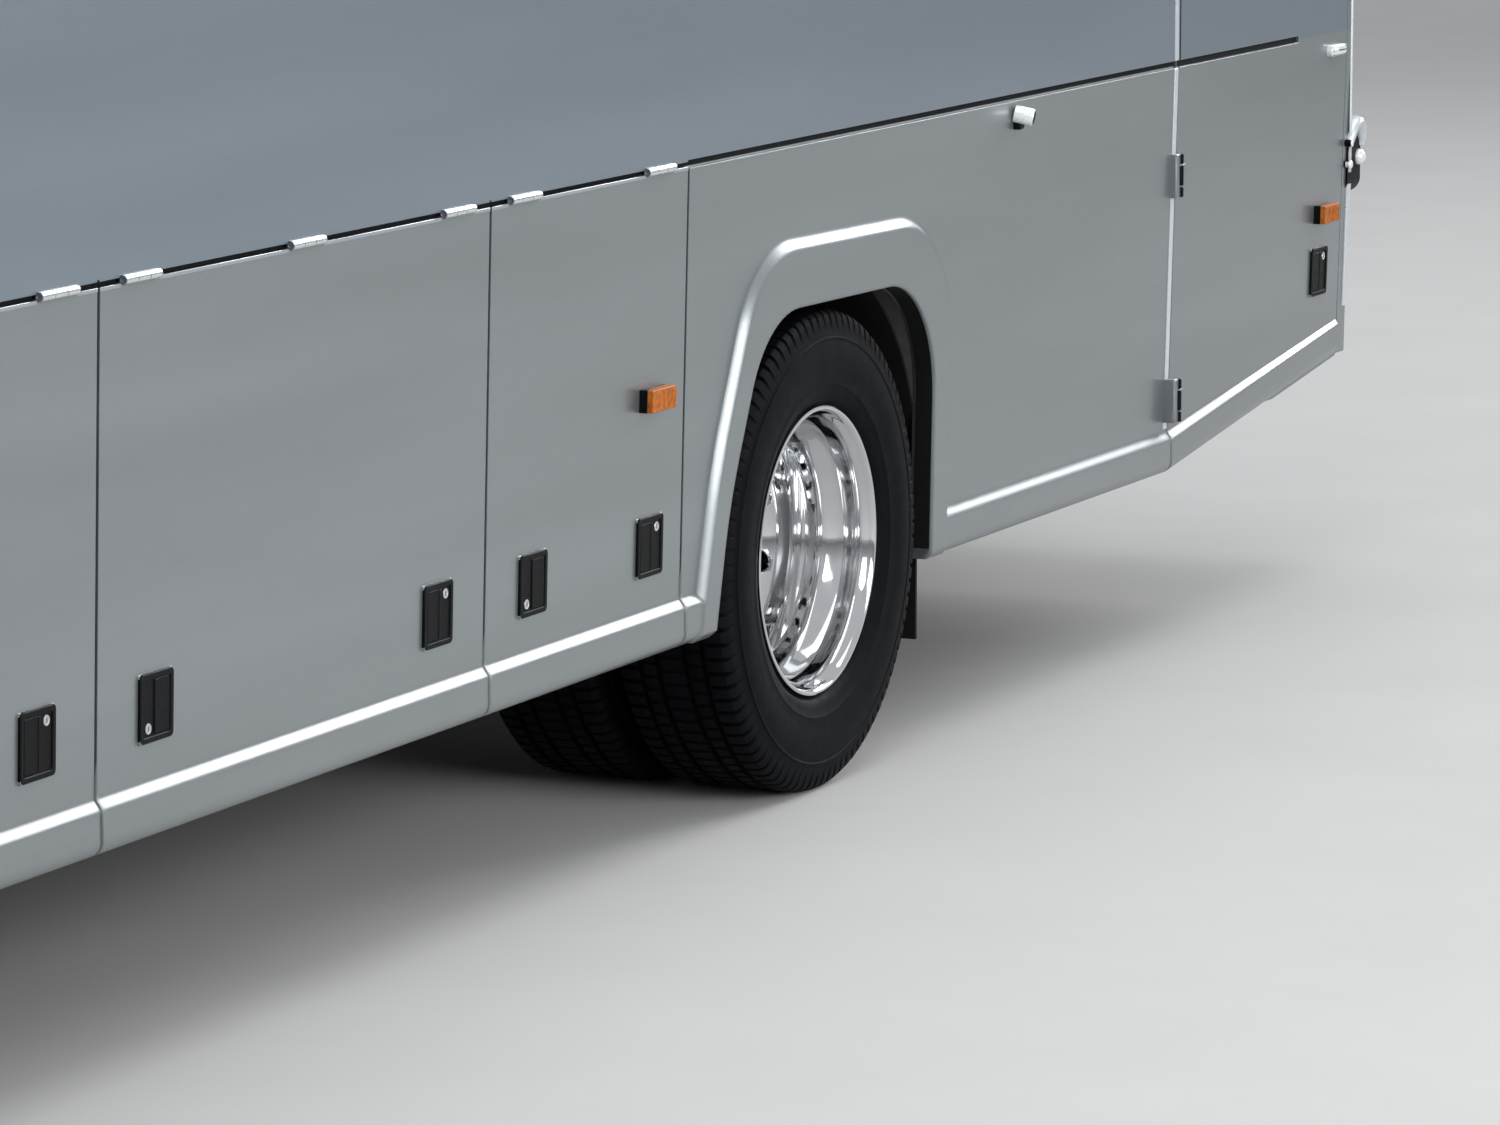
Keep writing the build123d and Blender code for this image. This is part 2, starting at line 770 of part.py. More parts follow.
with BuildPart() as side_cameras:
    for word, side in sides:
        place = (aft(camera_aft), side * (half_width - 2), camera_height)
        with Locations(Location(place, (90 + side * camera_droop, 0, 0))):
            Cylinder(camera_radius, 2 * camera_out)
        with Locations(Location(place, (90, 0, 0))):
            Cylinder(camera_base_radius, 2 * camera_base)
    add(outer, mode=Mode.SUBTRACT)
save(side_cameras.part, "side_cameras")

with BuildPart() as mirrors:
    for word, side in sides:
        with BuildLine() as route:
            FilletPolyline(
                (x_nose - 700, side * 1000, 3120),
                (x_nose + 120, side * 1130, 3060),
                (x_nose + 130, side * 1170, 2700),
                radius=mirror_bend,
            )
        with BuildSketch(Plane(route.line @ 0, z_dir=route.line % 0)) as tube:
            RegularPolygon(mirror_arm, 8)
        sweep(tube.sketch, path=route.line)
        with BuildSketch(Plane.XY.offset(2260)) as head:
            with Locations((x_nose + mirror_reach - 50, side * 1175)):
                RectangleRounded(100, 240, 40)
        extrude(head.sketch, amount=460)
    add(outer, mode=Mode.SUBTRACT)
save(mirrors.part, "mirrors")

with BuildPart() as roof_unit:
    span(roof_unit_x, (-roof_unit_half, roof_unit_half), (roof_height - 200, roof_unit_top))
    fillet(roof_unit.edges().group_by(Axis.Z)[-1], 60)
    with Locations((sum(roof_unit_x) / 2, 0, roof_unit_top - fan_deep / 2)):
        with GridLocations(fan_spacing, 2 * fan_radius, 2, 1):
            Cylinder(fan_radius, fan_deep, mode=Mode.SUBTRACT)
    add(outer, mode=Mode.SUBTRACT)
save(roof_unit.part, "roof_unit")

# Decks, frame and bays
with BuildPart() as decks:
    span((x_tail + 120, x_step), (-deck_half_width, deck_half_width), (deck_top - deck_thickness, deck_top))
    low = entry_floor_top - entry_floor_thickness
    span((x_step - 40, x_nose - 500), (-deck_half_width, deck_half_width), (low, entry_floor_top))
    span((x_step - 40, x_step), (-deck_half_width, deck_half_width), (low, deck_top - 1))
    well = (x_entry_rear + 30, x_mask - 30)
    span(well, (-far, -step_edges[0]), (low - 1, entry_floor_top + 1), Mode.SUBTRACT)
    span(well, (-step_edges[1], -step_edges[0]), (step_heights[0] - entry_floor_thickness, step_heights[0]))
    span(well, (-deck_half_width, -step_edges[1]), (step_heights[1] - entry_floor_thickness, step_heights[1]))
    riser_low = step_heights[0] - entry_floor_thickness
    span(well, (-step_edges[0], -step_edges[0] + 20), (riser_low, entry_floor_top))
    riser_low = step_heights[1] - entry_floor_thickness
    span(well, (-step_edges[1], -step_edges[1] + 20), (riser_low, step_heights[0]))
    add(body_solid(wall + 9), mode=Mode.INTERSECT)
save(decks.part, "decks")

bay_front = aft(luggage_front)
bay_rear = aft(arch_panel_front)
deck_under = deck_top - deck_thickness
bay_x = (bay_rear - bulkhead, bay_front + bulkhead)
bay_y = (-bulkhead_half_width, bulkhead_half_width)
with BuildPart() as chassis:
    low = bay_floor_top - bay_floor_thickness
    span(bay_x, bay_y, (low, bay_floor_top))
    for x in bulkheads:
        span((x - bulkhead / 2, x + bulkhead / 2), bay_y, (low, deck_under))
    for side in (-1, 1):
        y = (side * (rail_half - rail_width / 2), side * (rail_half + rail_width / 2))
        span(bay_x, y, (low_rail_bottom, bay_floor_top))
        span((x_tail + 180, bay_rear), y, (high_rail_bottom, high_rail_bottom + high_rail_height))
        span((bay_front, x_nose - 260), y, (front_rail_bottom, front_rail_bottom + rail_width))
        span((x_front_axle - 60, x_front_axle + 60), y, (axle_height + 90, front_rail_bottom + rail_width))
        span((x_rear_axle - 60, x_rear_axle + 60), y, (axle_height + 70, high_rail_bottom + high_rail_height))
        for x in risers:
            span((x - 40, x + 40), y, (high_rail_bottom, deck_under))
    for x in (x_tail + 220, x_rear_axle + 560):
        cross = (-rail_half - rail_width / 2, rail_half + rail_width / 2)
        span((x - 40, x + 40), cross, (high_rail_bottom, high_rail_bottom + rail_width))
    x = x_nose - 300
    span((x - 40, x + 40), (-rail_half, rail_half), (front_rail_bottom, front_rail_bottom + rail_width))
    for x, z, inward, post_top in eyes:
        span((x - inward * 60, x + inward * 100), (-60, 60), (z, z + eye_thickness))
        span((x + inward * 60, x + inward * 100), (-60, 60), (z, post_top))
        with Locations((x, 0, z + eye_thickness / 2)):
            Cylinder(eye_radius, eye_thickness + 2, mode=Mode.SUBTRACT)
save(chassis.part, "chassis")

with BuildPart() as engine:
    reach = rail_half - rail_width / 2
    span(engine_x, (-engine_half, engine_half), (engine_bottom, deck_under - 60))
    for x in (engine_x[0] + 200, engine_x[1] - 200):
        span((x - 50, x + 50), (-reach, reach), (high_rail_bottom + 20, high_rail_bottom + 90))
save(engine.part, "engine")


# Wheels: outlines as distance from the axle and distance inboard of the outer flange
disc_back = rim_width / 2 + twin_spacing / 2
disc_face = disc_back - disc_thick
hub_end = disc_face - drive_hub_length
rim_outside = [
    (rim_radius, 0),
    (rim_radius, flange_thick),
    (rim_seat, flange_thick + 4),
    (rim_seat, rim_width - flange_thick - 4),
    (rim_radius, rim_width - flange_thick),
    (rim_radius, rim_width),
    (rim_seat - 11, rim_width),
]
lip = [(rim_seat - 11, 14), (rim_radius - 12.5, 0)]
dish_back = [(262, 170), (190, disc_back)]
drive_hub = [(0, disc_back), (0, hub_end), (70, hub_end), (106, hub_end + 14), (106, disc_face)]
deep_dish = [(180, disc_face), (234, 178), (247, 135), (247, 104), (273, 64)]
inner_dish = [(60, disc_back), (60, disc_face), (180, disc_face), (234, 178), (286, 0)]
steer_back = [(254, 110), (200, 45), (110, 45), (110, 130), (0, 130)]
steer_dish = [(0, -20), (78, -20), (110, -2), (110, 22), (190, 22), (250, 96), (273, 64)]
deep_wheel = rim_outside + dish_back + drive_hub + deep_dish + lip
inner_wheel = rim_outside + dish_back + inner_dish
steered_wheel = rim_outside + steer_back + steer_dish + lip


def turned(points, y, outward):
    """Turns a closed outline of radius and inboard distance about the axle, starting at one flange."""
    with BuildSketch(Plane.XY) as sketch:
        with BuildLine():
            Polyline(*[(radius, y - outward * inboard) for radius, inboard in points], close=True)
        make_face()
    revolve(sketch.sketch, axis=Axis.Y)


def tyre(y, shoulders):
    """One tyre about a centre plane at y, with plain sidewalls where it has no shoulders."""
    half = [(tyre_bead, tyre_bead_half), (tyre_radius, inner_tread_half)]
    if shoulders:
        half = [(tyre_bead, tyre_bead_half), (tyre_belly, tyre_width / 2), (tyre_radius, tread_half)]
    outline = [(radius, y + across) for radius, across in half]
    outline += [(radius, y - across) for radius, across in half[::-1]]
    with BuildSketch(Plane.XY) as sketch:
        with BuildLine():
            Polyline(*outline, close=True)
        make_face()
    revolve(sketch.sketch, axis=Axis.Y)


twin_plane = wheel_face - disc_back
for word, side in sides:
    with BuildPart() as rear_wheel:
        turned(deep_wheel, side * wheel_face, side)
        turned(inner_wheel, side * (2 * twin_plane - wheel_face), -side)
        with Locations(Location((0, side * twin_plane, 0), (90, 0, 0))):
            with PolarLocations(hand_hole_circle, hand_holes):
                Cylinder(hand_hole_radius, 200, mode=Mode.SUBTRACT)
        with Locations(Location((0, side * (twin_plane - 60), 0), (90, 0, 0))):
            Cylinder(spindle_radius + running, 240, mode=Mode.SUBTRACT)
    save(rear_wheel.part.moved(Location((x_rear_axle, 0, axle_height))), f"rear_wheel_{word}")

    with BuildPart() as rear_tyres:
        tyre(side * (twin_plane + twin_spacing / 2), True)
        tyre(side * (twin_plane - twin_spacing / 2), False)
    save(rear_tyres.part.moved(Location((x_rear_axle, 0, axle_height))), f"rear_tyres_{word}")

    with BuildPart() as front_wheel:
        turned(steered_wheel, side * front_wheel_face, side)
        with Locations(Location((0, side * front_wheel_face, 0), (90, 0, 0))):
            with PolarLocations(hand_hole_circle, hand_holes):
                Cylinder(hand_hole_radius, 240, mode=Mode.SUBTRACT)
        with Locations(Location((0, side * (front_wheel_face - 100), 0), (90, 0, 0))):
            Cylinder(spindle_radius + running, 140, mode=Mode.SUBTRACT)
    save(front_wheel.part.moved(Location((x_front_axle, 0, axle_height))), f"front_wheel_{word}")

    with BuildPart() as front_tyre:
        tyre(side * (front_wheel_face - rim_width / 2), True)
    save(front_tyre.part.moved(Location((x_front_axle, 0, axle_height))), f"front_tyre_{word}")

    with BuildPart() as knuckle:
        tall = axle_height - 110
        with Locations((x_front_axle, side * kingpin_half, axle_height)):
            Cylinder(62, 220)
        with Locations(Location((x_front_axle, side * (kingpin_half + 50), axle_height), (90, 0, 0))):
            Cylinder(80, 60)
        with Locations(Location((x_front_axle, side * (kingpin_half + 110), axle_height), (90, 0, 0))):
            Cylinder(spindle_radius, 120)
        with Locations((x_front_axle, side * kingpin_half, axle_height)):
            Cylinder(kingpin_radius + running, 222, mode=Mode.SUBTRACT)
        arm_y = (side * (kingpin_half - 30), side * (kingpin_half + 10))
        span((x_front_axle - 220, x_front_axle - 40), arm_y, (tall + 4, tall + 34))
    save(knuckle.part, f"knuckle_{word}")

with BuildPart() as front_axle:
    for side in (-1, 1):
        with Locations((x_front_axle, side * kingpin_half, axle_height)):
            Cylinder(kingpin_radius, 320)
        y = (side * (kingpin_half - 60), side * (kingpin_half + 40))
        for z in ((axle_height + 116, axle_height + 160), (axle_height - 160, axle_height - 116)):
            span((x_front_axle - 50, x_front_axle + 50), y, z)
        y = (side * (kingpin_half - 130), side * (kingpin_half - 90))
        span((x_front_axle - 50, x_front_axle + 50), y, (axle_height - 160, axle_height + 160))
        y = (side * (kingpin_half - 130), side * (kingpin_half - 50))
        for z in ((axle_height + 116, axle_height + 160), (axle_height - 160, axle_height - 116)):
            span((x_front_axle - 50, x_front_axle + 50), y, z)
    reach = (-kingpin_half + 100, kingpin_half - 100)
    span((x_front_axle - 50, x_front_axle + 50), reach, (axle_height - 60, axle_height + 40))
    for side in (-1, 1):
        pad = (side * (rail_half - 40), side * (rail_half + 40))
        span((x_front_axle - 50, x_front_axle + 50), pad, (axle_height + 39, axle_height + 90))
save(front_axle.part, "front_axle")

with BuildPart() as rear_axle:
    tube_end = twin_plane - twin_spacing / 2 - 150
    with Locations(Location((x_rear_axle, 0, axle_height), (90, 0, 0))):
        Cylinder(70, 2 * tube_end)
        Cylinder(spindle_radius, 2 * (twin_plane + 50))
    with BuildSketch(Plane.XY) as casing:
        with BuildLine():
            Polyline((70, -260), (190, -90), (190, 90), (70, 260), (0, 260), (0, -260), close=True)
        make_face()
    centre = (x_rear_axle, 0, axle_height)
    revolve(casing.sketch.moved(Location(centre)), axis=Axis(centre, (0, 1, 0)))
    for side in (-1, 1):
        pad = (side * (rail_half - 40), side * (rail_half + 40))
        span((x_rear_axle - 50, x_rear_axle + 50), pad, (axle_height + 40, axle_height + 70))
save(rear_axle.part, "rear_axle")

with BuildPart() as arch_liners:
    for x_axle, inner_edge in [(x_rear_axle, rear_liner_inner), (x_front_axle, front_liner_inner)]:
        for side in (-1, 1):
            y = (side * inner_edge, side * half_width)
            with BuildSketch(Plane.XZ.offset(-min(y))) as arc:
                with Locations((x_axle, axle_height)):
                    Circle(liner_radius + liner_thick)
                    Circle(liner_radius, mode=Mode.SUBTRACT)
                with Locations((x_axle, axle_height - 500)):
                    Rectangle(1400, 1000, mode=Mode.SUBTRACT)
            extrude(arc.sketch, amount=-abs(y[1] - y[0]))
    add(inner, mode=Mode.INTERSECT)
save(arch_liners.part, "arch_liners")

with BuildPart() as mudflaps:
    for x_axle in (x_rear_axle, x_front_axle):
        for side in (-1, 1):
            x = x_axle - liner_radius - liner_thick
            span((x, x + 8), (side * flap_inner, side * flap_outer), (flap_bottom, axle_height))
save(mudflaps.part, "mudflaps")

# Cabin
with BuildPart() as seats:
    for i in range(seat_rows):
        x = first_seat + i * seat_pitch
        for side in (-1, 1):
            y = (side * seat_half_gap, side * (seat_half_gap + seat_pair_width))
            cushion_x = (x + cushion_forward, x + cushion_forward + cushion_depth)
            cushion_low = deck_top + cushion_top - cushion_thick
            span(cushion_x, y, (cushion_low, deck_top + cushion_top))
            leg_y = (side * (seat_half_gap + 125), side * (seat_half_gap + seat_pair_width - 230))
            span((cushion_x[0] + 70, cushion_x[1] - 70), leg_y, (deck_top, cushion_low + 1))
            low = deck_top + cushion_top
            high = deck_top + seat_back_top
            with BuildSketch(Plane.XZ.offset(-min(y))) as back:
                with BuildLine():
                    foot = (x + 190, low - 30)
                    Polyline((x + 90, low - 50), (x - 100, high), (x - 20, high), foot, close=True)
                make_face()
            extrude(back.sketch, amount=-seat_pair_width)
    y = (driver_y - driver_seat_half, driver_y + driver_seat_half)
    x = x_mask - 780
    driver_cushion = entry_floor_top + driver_cushion_top
    span((x, x + 460), y, (driver_cushion - driver_cushion_thick, driver_cushion))
    post_y = (driver_y - 150, driver_y + 150)
    span((x + 80, x + 380), post_y, (entry_floor_top, driver_cushion - driver_cushion_thick + 1))
    span((x - 110, x + 10), y, (driver_cushion - 50, entry_floor_top + driver_back_top))
save(seats.part, "seats")

with BuildPart() as dashboard:
    with BuildSketch(Plane.XZ.offset(-deck_half_width + 60)) as section:
        with BuildLine():
            Polyline(
                (x_nose - 620, entry_floor_top),
                (x_nose - 620, entry_floor_top + 360),
                (x_nose - 560, entry_floor_top + 430),
                (x_nose - 330, entry_floor_top + 450),
                (x_nose - 330, entry_floor_top),
                close=True,
            )
        make_face()
    extrude(section.sketch, amount=deck_half_width - 60 + dash_right)
    add(body_solid(wall + 9), mode=Mode.INTERSECT)
    with Locations(Location((x_nose - 660, driver_y, entry_floor_top + 480), (0, -35, 0))):
        Cylinder(wheel_rim_radius + wheel_rim_tube, 2 * wheel_rim_tube)
        Cylinder(wheel_rim_radius - wheel_rim_tube, 2 * wheel_rim_tube + 1, mode=Mode.SUBTRACT)
        Cylinder(30, 60)
        Box(420, 40, 16)
        Box(40, 420, 16)
    with Locations(Location((x_nose - 620, driver_y, entry_floor_top + 420), (0, -35, 0))):
        Cylinder(30, 160)
save(dashboard.part, "dashboard")
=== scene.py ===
from math import cos, dist, pi, radians, sin

import bmesh
import bpy
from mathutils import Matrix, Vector
from mathutils.bvhtree import BVHTree


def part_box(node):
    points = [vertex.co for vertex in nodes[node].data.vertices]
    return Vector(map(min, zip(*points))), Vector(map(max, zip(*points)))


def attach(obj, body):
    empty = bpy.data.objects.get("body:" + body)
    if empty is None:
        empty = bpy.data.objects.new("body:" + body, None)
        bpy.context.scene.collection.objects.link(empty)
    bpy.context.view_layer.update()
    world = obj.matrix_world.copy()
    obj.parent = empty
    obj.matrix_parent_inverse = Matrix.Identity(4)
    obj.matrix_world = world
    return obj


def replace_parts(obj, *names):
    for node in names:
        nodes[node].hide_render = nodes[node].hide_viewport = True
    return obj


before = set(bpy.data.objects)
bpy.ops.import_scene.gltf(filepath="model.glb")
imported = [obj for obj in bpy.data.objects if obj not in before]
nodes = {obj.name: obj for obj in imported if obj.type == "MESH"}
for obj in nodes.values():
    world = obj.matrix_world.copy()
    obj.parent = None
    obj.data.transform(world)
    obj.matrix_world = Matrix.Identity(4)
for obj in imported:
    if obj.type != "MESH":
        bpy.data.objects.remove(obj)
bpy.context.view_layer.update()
scene = bpy.context.scene


def centre_of(name, axis):
    """The middle of a node's box along an axis."""
    return sum(getattr(corner, axis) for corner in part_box(name)) / 2


# Places taken from the parts' boxes, and the body's lines, in metres
SIDES = (("left", 1), ("right", -1))
REAR_X, FRONT_X = centre_of("rear_tyres_left", "x"), centre_of("front_tyre_left", "x")
AXLE_Z = centre_of("rear_tyres_left", "z")
TAIL_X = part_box("rear_panel")[0].x
HALF, BELT, SKIRT, TUCK = 1.24, 1.352, 0.4, 0.024
LEAN = TUCK / (BELT - SKIRT)
SEAM_X, GROOVE_X, CORNER_X = REAR_X - 1.991, REAR_X - 2.806, REAR_X - 3.162
MASK_REAR = {1: 5.406, -1: 4.501}
DECK, ROOF_TOP = 1.349, 3.69


def side_at(z):
    """Half width of the side wall at height z."""
    return HALF - LEAN * max(0, BELT - z)


def linked(name, data):
    """A new object in the scene's collection."""
    made = bpy.data.objects.new(name, data)
    scene.collection.objects.link(made)
    return made


def aimed(made, place, direction):
    """Puts a camera or a lamp at a place, facing a direction."""
    made.location = place
    made.rotation_mode = "QUATERNION"
    made.rotation_quaternion = direction.to_track_quat("-Z", "Y")


# Camera, at the photograph's place and angle
CAMERA_PLACE = (9.437, 6.63, 2.5655)
CAMERA_YAW, CAMERA_PITCH = radians(24.36), radians(8.85)
CAMERA_LENS, SENSOR_WIDTH = 159.2, 36
camera_data = bpy.data.cameras.new("camera")
camera_data.lens = CAMERA_LENS
camera_data.sensor_width = SENSOR_WIDTH
camera_data.clip_start, camera_data.clip_end = 0.1, 500
camera = linked("camera", camera_data)
scene.camera = camera
aimed(camera, CAMERA_PLACE, Vector((
    -cos(CAMERA_YAW) * cos(CAMERA_PITCH),
    -sin(CAMERA_YAW) * cos(CAMERA_PITCH),
    -sin(CAMERA_PITCH),
)))


# Materials
def node_of(tree, kind, **values):
    """A shader node with its input sockets set by name."""
    made = tree.nodes.new(kind)
    for key, value in values.items():
        made.inputs[key.replace("_", " ")].default_value = value
    return made


def noise(tree, coords, scale, detail=3, stretch=None):
    """A noise texture in the object's own coordinates."""
    if stretch:
        mapping = node_of(tree, "ShaderNodeMapping", Scale=stretch)
        tree.links.new(coords, mapping.inputs["Vector"])
        coords = mapping.outputs["Vector"]
    made = node_of(tree, "ShaderNodeTexNoise", Scale=scale, Detail=detail)
    tree.links.new(coords, made.inputs["Vector"])
    return made.outputs["Fac"]


def ranged(tree, value, low, high, start=0.3, stop=0.7):
    """Maps a value between start and stop to low and high."""
    made = node_of(tree, "ShaderNodeMapRange", From_Min=start, From_Max=stop, To_Min=low, To_Max=high)
    tree.links.new(value, made.inputs["Value"])
    return made.outputs["Result"]


def blended(tree, factor, first, second):
    """Mixes two colours, or two colour sockets, by a factor socket."""
    made = tree.nodes.new("ShaderNodeMix")
    made.data_type = "RGBA"
    tree.links.new(factor, made.inputs["Factor"])
    for socket, value in ((made.inputs["A"], first), (made.inputs["B"], second)):
        if isinstance(value, tuple):
            socket.default_value = (*value, 1)
        else:
            tree.links.new(value, socket)
    return made.outputs["Result"]


def calculated(tree, operation, *values):
    """A math node on numbers and sockets."""
    made = tree.nodes.new("ShaderNodeMath")
    made.operation = operation
    for socket, value in zip(made.inputs, values):
        if isinstance(value, (int, float)):
            socket.default_value = value
        else:
            tree.links.new(value, socket)
    return made.outputs["Value"]


def shade(colour, factor):
    """A colour made lighter or darker."""
    return tuple(min(1, c * factor) for c in colour)


# Edges are softened most on the ledge and round the arches, by height and by distance from the axles
SHARP_EDGE, FLARE_REACH = 0.003, 0.67
LEDGE_FADE, FLARE_FADE, BELT_FADE = (0.53, 0.56), (1.2, 1.22), (BELT - 0.002, BELT + 0.002)
STREAK_STRETCH, COAT_ROUGHNESS = (0.5, 0.5, 5), 0.06
DUST, DUST_FROM = (0.2, 0.19, 0.175), 0.2


def softened(tree, along, height, soften):
    """A normal rounded over the panels' edges."""
    rounded = tree.nodes.new("ShaderNodeBevel")
    rounded.samples = 6
    ledge = ranged(tree, height, soften, SHARP_EDGE, *LEDGE_FADE)
    arches = [calculated(tree, "COMPARE", along, axle, FLARE_REACH) for axle in (REAR_X, FRONT_X)]
    near = calculated(tree, "ADD", *arches)
    flares = calculated(tree, "MULTIPLY", near, ranged(tree, height, soften, 0, *FLARE_FADE))
    tree.links.new(calculated(tree, "MAXIMUM", ledge, flares), rounded.inputs["Radius"])
    return rounded.outputs["Normal"]


def surface(name, colour, rough, metallic=0, vary=0.08, scale=25, bump=0, bump_scale=400, coat=0,
            dust=0, dust_top=0.75, streaks=0, rough_vary=0.05, glow=0, sheen=0, transmission=0,
            specular=0.5, soften=0, reflected_sky_tint=None):
    """A procedural finish with mottling, fine bump, softened edges, streaks, and dust near the ground;
    above the belt it can turn to a bluer colour, a painted sky reflection."""
    made = bpy.data.materials.new(name)
    made.use_nodes = True
    tree = made.node_tree
    link = tree.links.new
    shader = tree.nodes["Principled BSDF"]
    coords = tree.nodes.new("ShaderNodeTexCoord").outputs["Object"]
    axes = tree.nodes.new("ShaderNodeSeparateXYZ")
    link(coords, axes.inputs["Vector"])
    along, _, height = axes.outputs
    mottle = ranged(tree, noise(tree, coords, scale), 0, 1)

    def mottled(base, low, high):
        return blended(tree, mottle, shade(base, low), shade(base, high))

    tint = mottled(colour, 1 - vary, 1 + vary)
    if streaks:
        band = ranged(tree, noise(tree, coords, 1, 4, STREAK_STRETCH), 0, 1, 0.35)
        tint = blended(tree, band, tint, mottled(colour, 1 + streaks, 1 + streaks + vary))
    # Above the belt the colour turns bluer: a painted sky reflection.
    if reflected_sky_tint:
        above = ranged(tree, height, 0, 1, *BELT_FADE)
        tint = blended(tree, above, tint, mottled(reflected_sky_tint, 1 - vary, 1 + vary))
    if dust:
        low = ranged(tree, height, dust, 0, DUST_FROM, dust_top)
        patchy = ranged(tree, noise(tree, coords, 6, 6), 0.35, 1)
        tint = blended(tree, calculated(tree, "MULTIPLY", low, patchy), tint, DUST)
    link(tint, shader.inputs["Base Color"])
    wear = noise(tree, coords, scale * 2.3, 5)
    worn = ranged(tree, wear, max(0.02, rough - rough_vary), min(1, rough + rough_vary))
    link(worn, shader.inputs["Roughness"])
    normal = softened(tree, along, height, soften) if soften else None
    if bump:
        raised = node_of(tree, "ShaderNodeBump", Strength=bump, Distance=0.001)
        if normal:
            link(normal, raised.inputs["Normal"])
        link(noise(tree, coords, bump_scale, 2), raised.inputs["Height"])
        link(raised.outputs["Normal"], shader.inputs["Normal"])
    for socket, value in (
        ("Metallic", metallic), ("Coat Weight", coat), ("Coat Roughness", COAT_ROUGHNESS),
        ("Sheen Weight", sheen), ("Transmission Weight", transmission), ("Specular IOR Level", specular),
    ):
        shader.inputs[socket].default_value = value
    if glow:
        shader.inputs["Emission Color"].default_value = (*colour, 1)
        shader.inputs["Emission Strength"].default_value = glow
    return made


# The bluer silver above the belt is a painted sky reflection.
SILVER, SILVER_SKY_TINTED = (0.262, 0.286, 0.299), (0.243, 0.289, 0.334)
paint = surface("silver_paint", SILVER, 0.36, 0.75, 0.05, 420, 0.04, 900, 0.25, 0.25, 0.62, 0.1,
                soften=0.017, reflected_sky_tint=SILVER_SKY_TINTED)
reflected_wall_paint = surface("wall_paint_reflected_sky", SILVER_SKY_TINTED, 0.36, 0.75, 0.05, 420, 0.04, 900, 0.25, streaks=0.1)
roof_paint = surface("roof_paint", (0.4, 0.42, 0.43), 0.42, 0.5, 0.06, 300, 0.04, 900, 0.2, streaks=0.08)
# The strip along the doors' top edges is lighter and bluer than the paint: a painted highlight.
edge_highlight = surface("door_bead", (0.36, 0.39, 0.43), 0.36, 0.5, 0.05, 60, 0.01, 500, 0.2)
bright = surface("bright_trim", (0.86, 0.88, 0.89), 0.3, 0.35, 0.03, 60, 0, 500, 0.3)
pale_trim = surface("pale_trim", (0.66, 0.7, 0.73), 0.32, 0.5, 0.05, 60, 0.01, 500, 0.2)
hinge_metal = surface("hinge_metal", (0.74, 0.76, 0.77), 0.24, 0.85, 0.03, 60, 0, 500, 0.2)
chrome = surface("polished_metal", (0.62, 0.63, 0.64), 0.075, 1, 0.03, 18, 0.01, 60, rough_vary=0.035)
steel = surface("wheel_steel", (0.35, 0.36, 0.37), 0.45, 0.8, 0.15, 30, 0.1, 200, dust=0.5, dust_top=1)
silver_cast = surface("lock_metal", (0.62, 0.63, 0.64), 0.3, 0.9, 0.1, 200, 0.1, 900)
black_steel = surface("frame_steel", (0.014, 0.014, 0.015), 0.6, 0.3, 0.4, 10, 0.3, 90, dust=0.07,
                      dust_top=1)
engine_grey = surface("engine_castings", (0.03, 0.03, 0.029), 0.6, 0.4, 0.3, 20, 0.5, 150, dust=0.05,
                      dust_top=1.2)
rubber = surface("tyre_rubber", (0.0018, 0.0023, 0.0034), 0.62, 0, 0.35, 14, 0.25, 700, dust=0.004,
                 dust_top=0.6, specular=0.085)
seal = surface("black_rubber", (0.0045, 0.0048, 0.0055), 0.7, 0, 0.3, 60, 0.2, 600, specular=0.2)
plastic = surface("black_plastic", (0.002, 0.0023, 0.003), 0.45, 0, 0.25, 50, 0.2, 1500, specular=0.11)
grey_plastic = surface("grey_plastic", (0.075, 0.08, 0.085), 0.5, 0, 0.15, 40, 0.3, 1200)
liner_dark = surface("liner_plastic", (0.004, 0.004, 0.0045), 0.8, 0, 0.4, 12, 0.4, 120, dust=0.008,
                     dust_top=0.9, specular=0.2)
amber = surface("amber_lens", (0.39, 0.112, 0.013), 0.5, 0, 0.35, 90, 0.1, glow=0.03, specular=0.2)
red_lens = surface("red_lens", (0.45, 0.012, 0.01), 0.18, 0, 0.2, 90, 0.1, coat=0.7, glow=0.05)
clear_lens = surface("clear_lens", (0.8, 0.82, 0.84), 0.08, 0, 0.05, 60, 0.05, 300, coat=0.5,
                     transmission=0.85)
glass = surface("tinted_glass", (0.07, 0.085, 0.085), 0.03, 0, 0.06, 3, transmission=0.9, rough_vary=0.015)
fabric = surface("seat_fabric", (0.045, 0.06, 0.1), 0.9, 0, 0.35, 320, 0.5, 900, sheen=0.4)
vinyl = surface("cabin_vinyl", (0.06, 0.06, 0.062), 0.55, 0, 0.15, 60, 0.35, 500)
floor_vinyl = surface("floor_covering", (0.08, 0.08, 0.078), 0.7, 0, 0.25, 40, 0.3, 300, dust=0.1,
                      dust_top=1.5)

FINISHED = (
    (paint, ("arch_panels", "luggage_door", "service_door", "front_mask", "front_bumper", "rear_panel",
             "rear_bumper", "engine_lid", "entry_door")),
    (reflected_wall_paint, "side_wall"), (roof_paint, "roof"), (glass, "glazing"),
    (black_steel, ("chassis", "front_axle", "rear_axle", "knuckle")), (floor_vinyl, "decks"),
    (liner_dark, "arch_liners"), (seal, "mudflaps"), (engine_grey, "engine"),
    (steel, ("rear_wheel", "front_wheel")), (rubber, ("rear_tyres", "front_tyre")),
    (clear_lens, "headlamps"), (plastic, ("tail_lamps", "mirrors", "wipers")),
    (bright, "side_cameras"), (fabric, "seats"), (vinyl, "dashboard"),
)
for name, node in nodes.items():
    node.data.materials.clear()
    node.data.materials.append(next(finish for finish, starts in FINISHED if name.startswith(starts)))


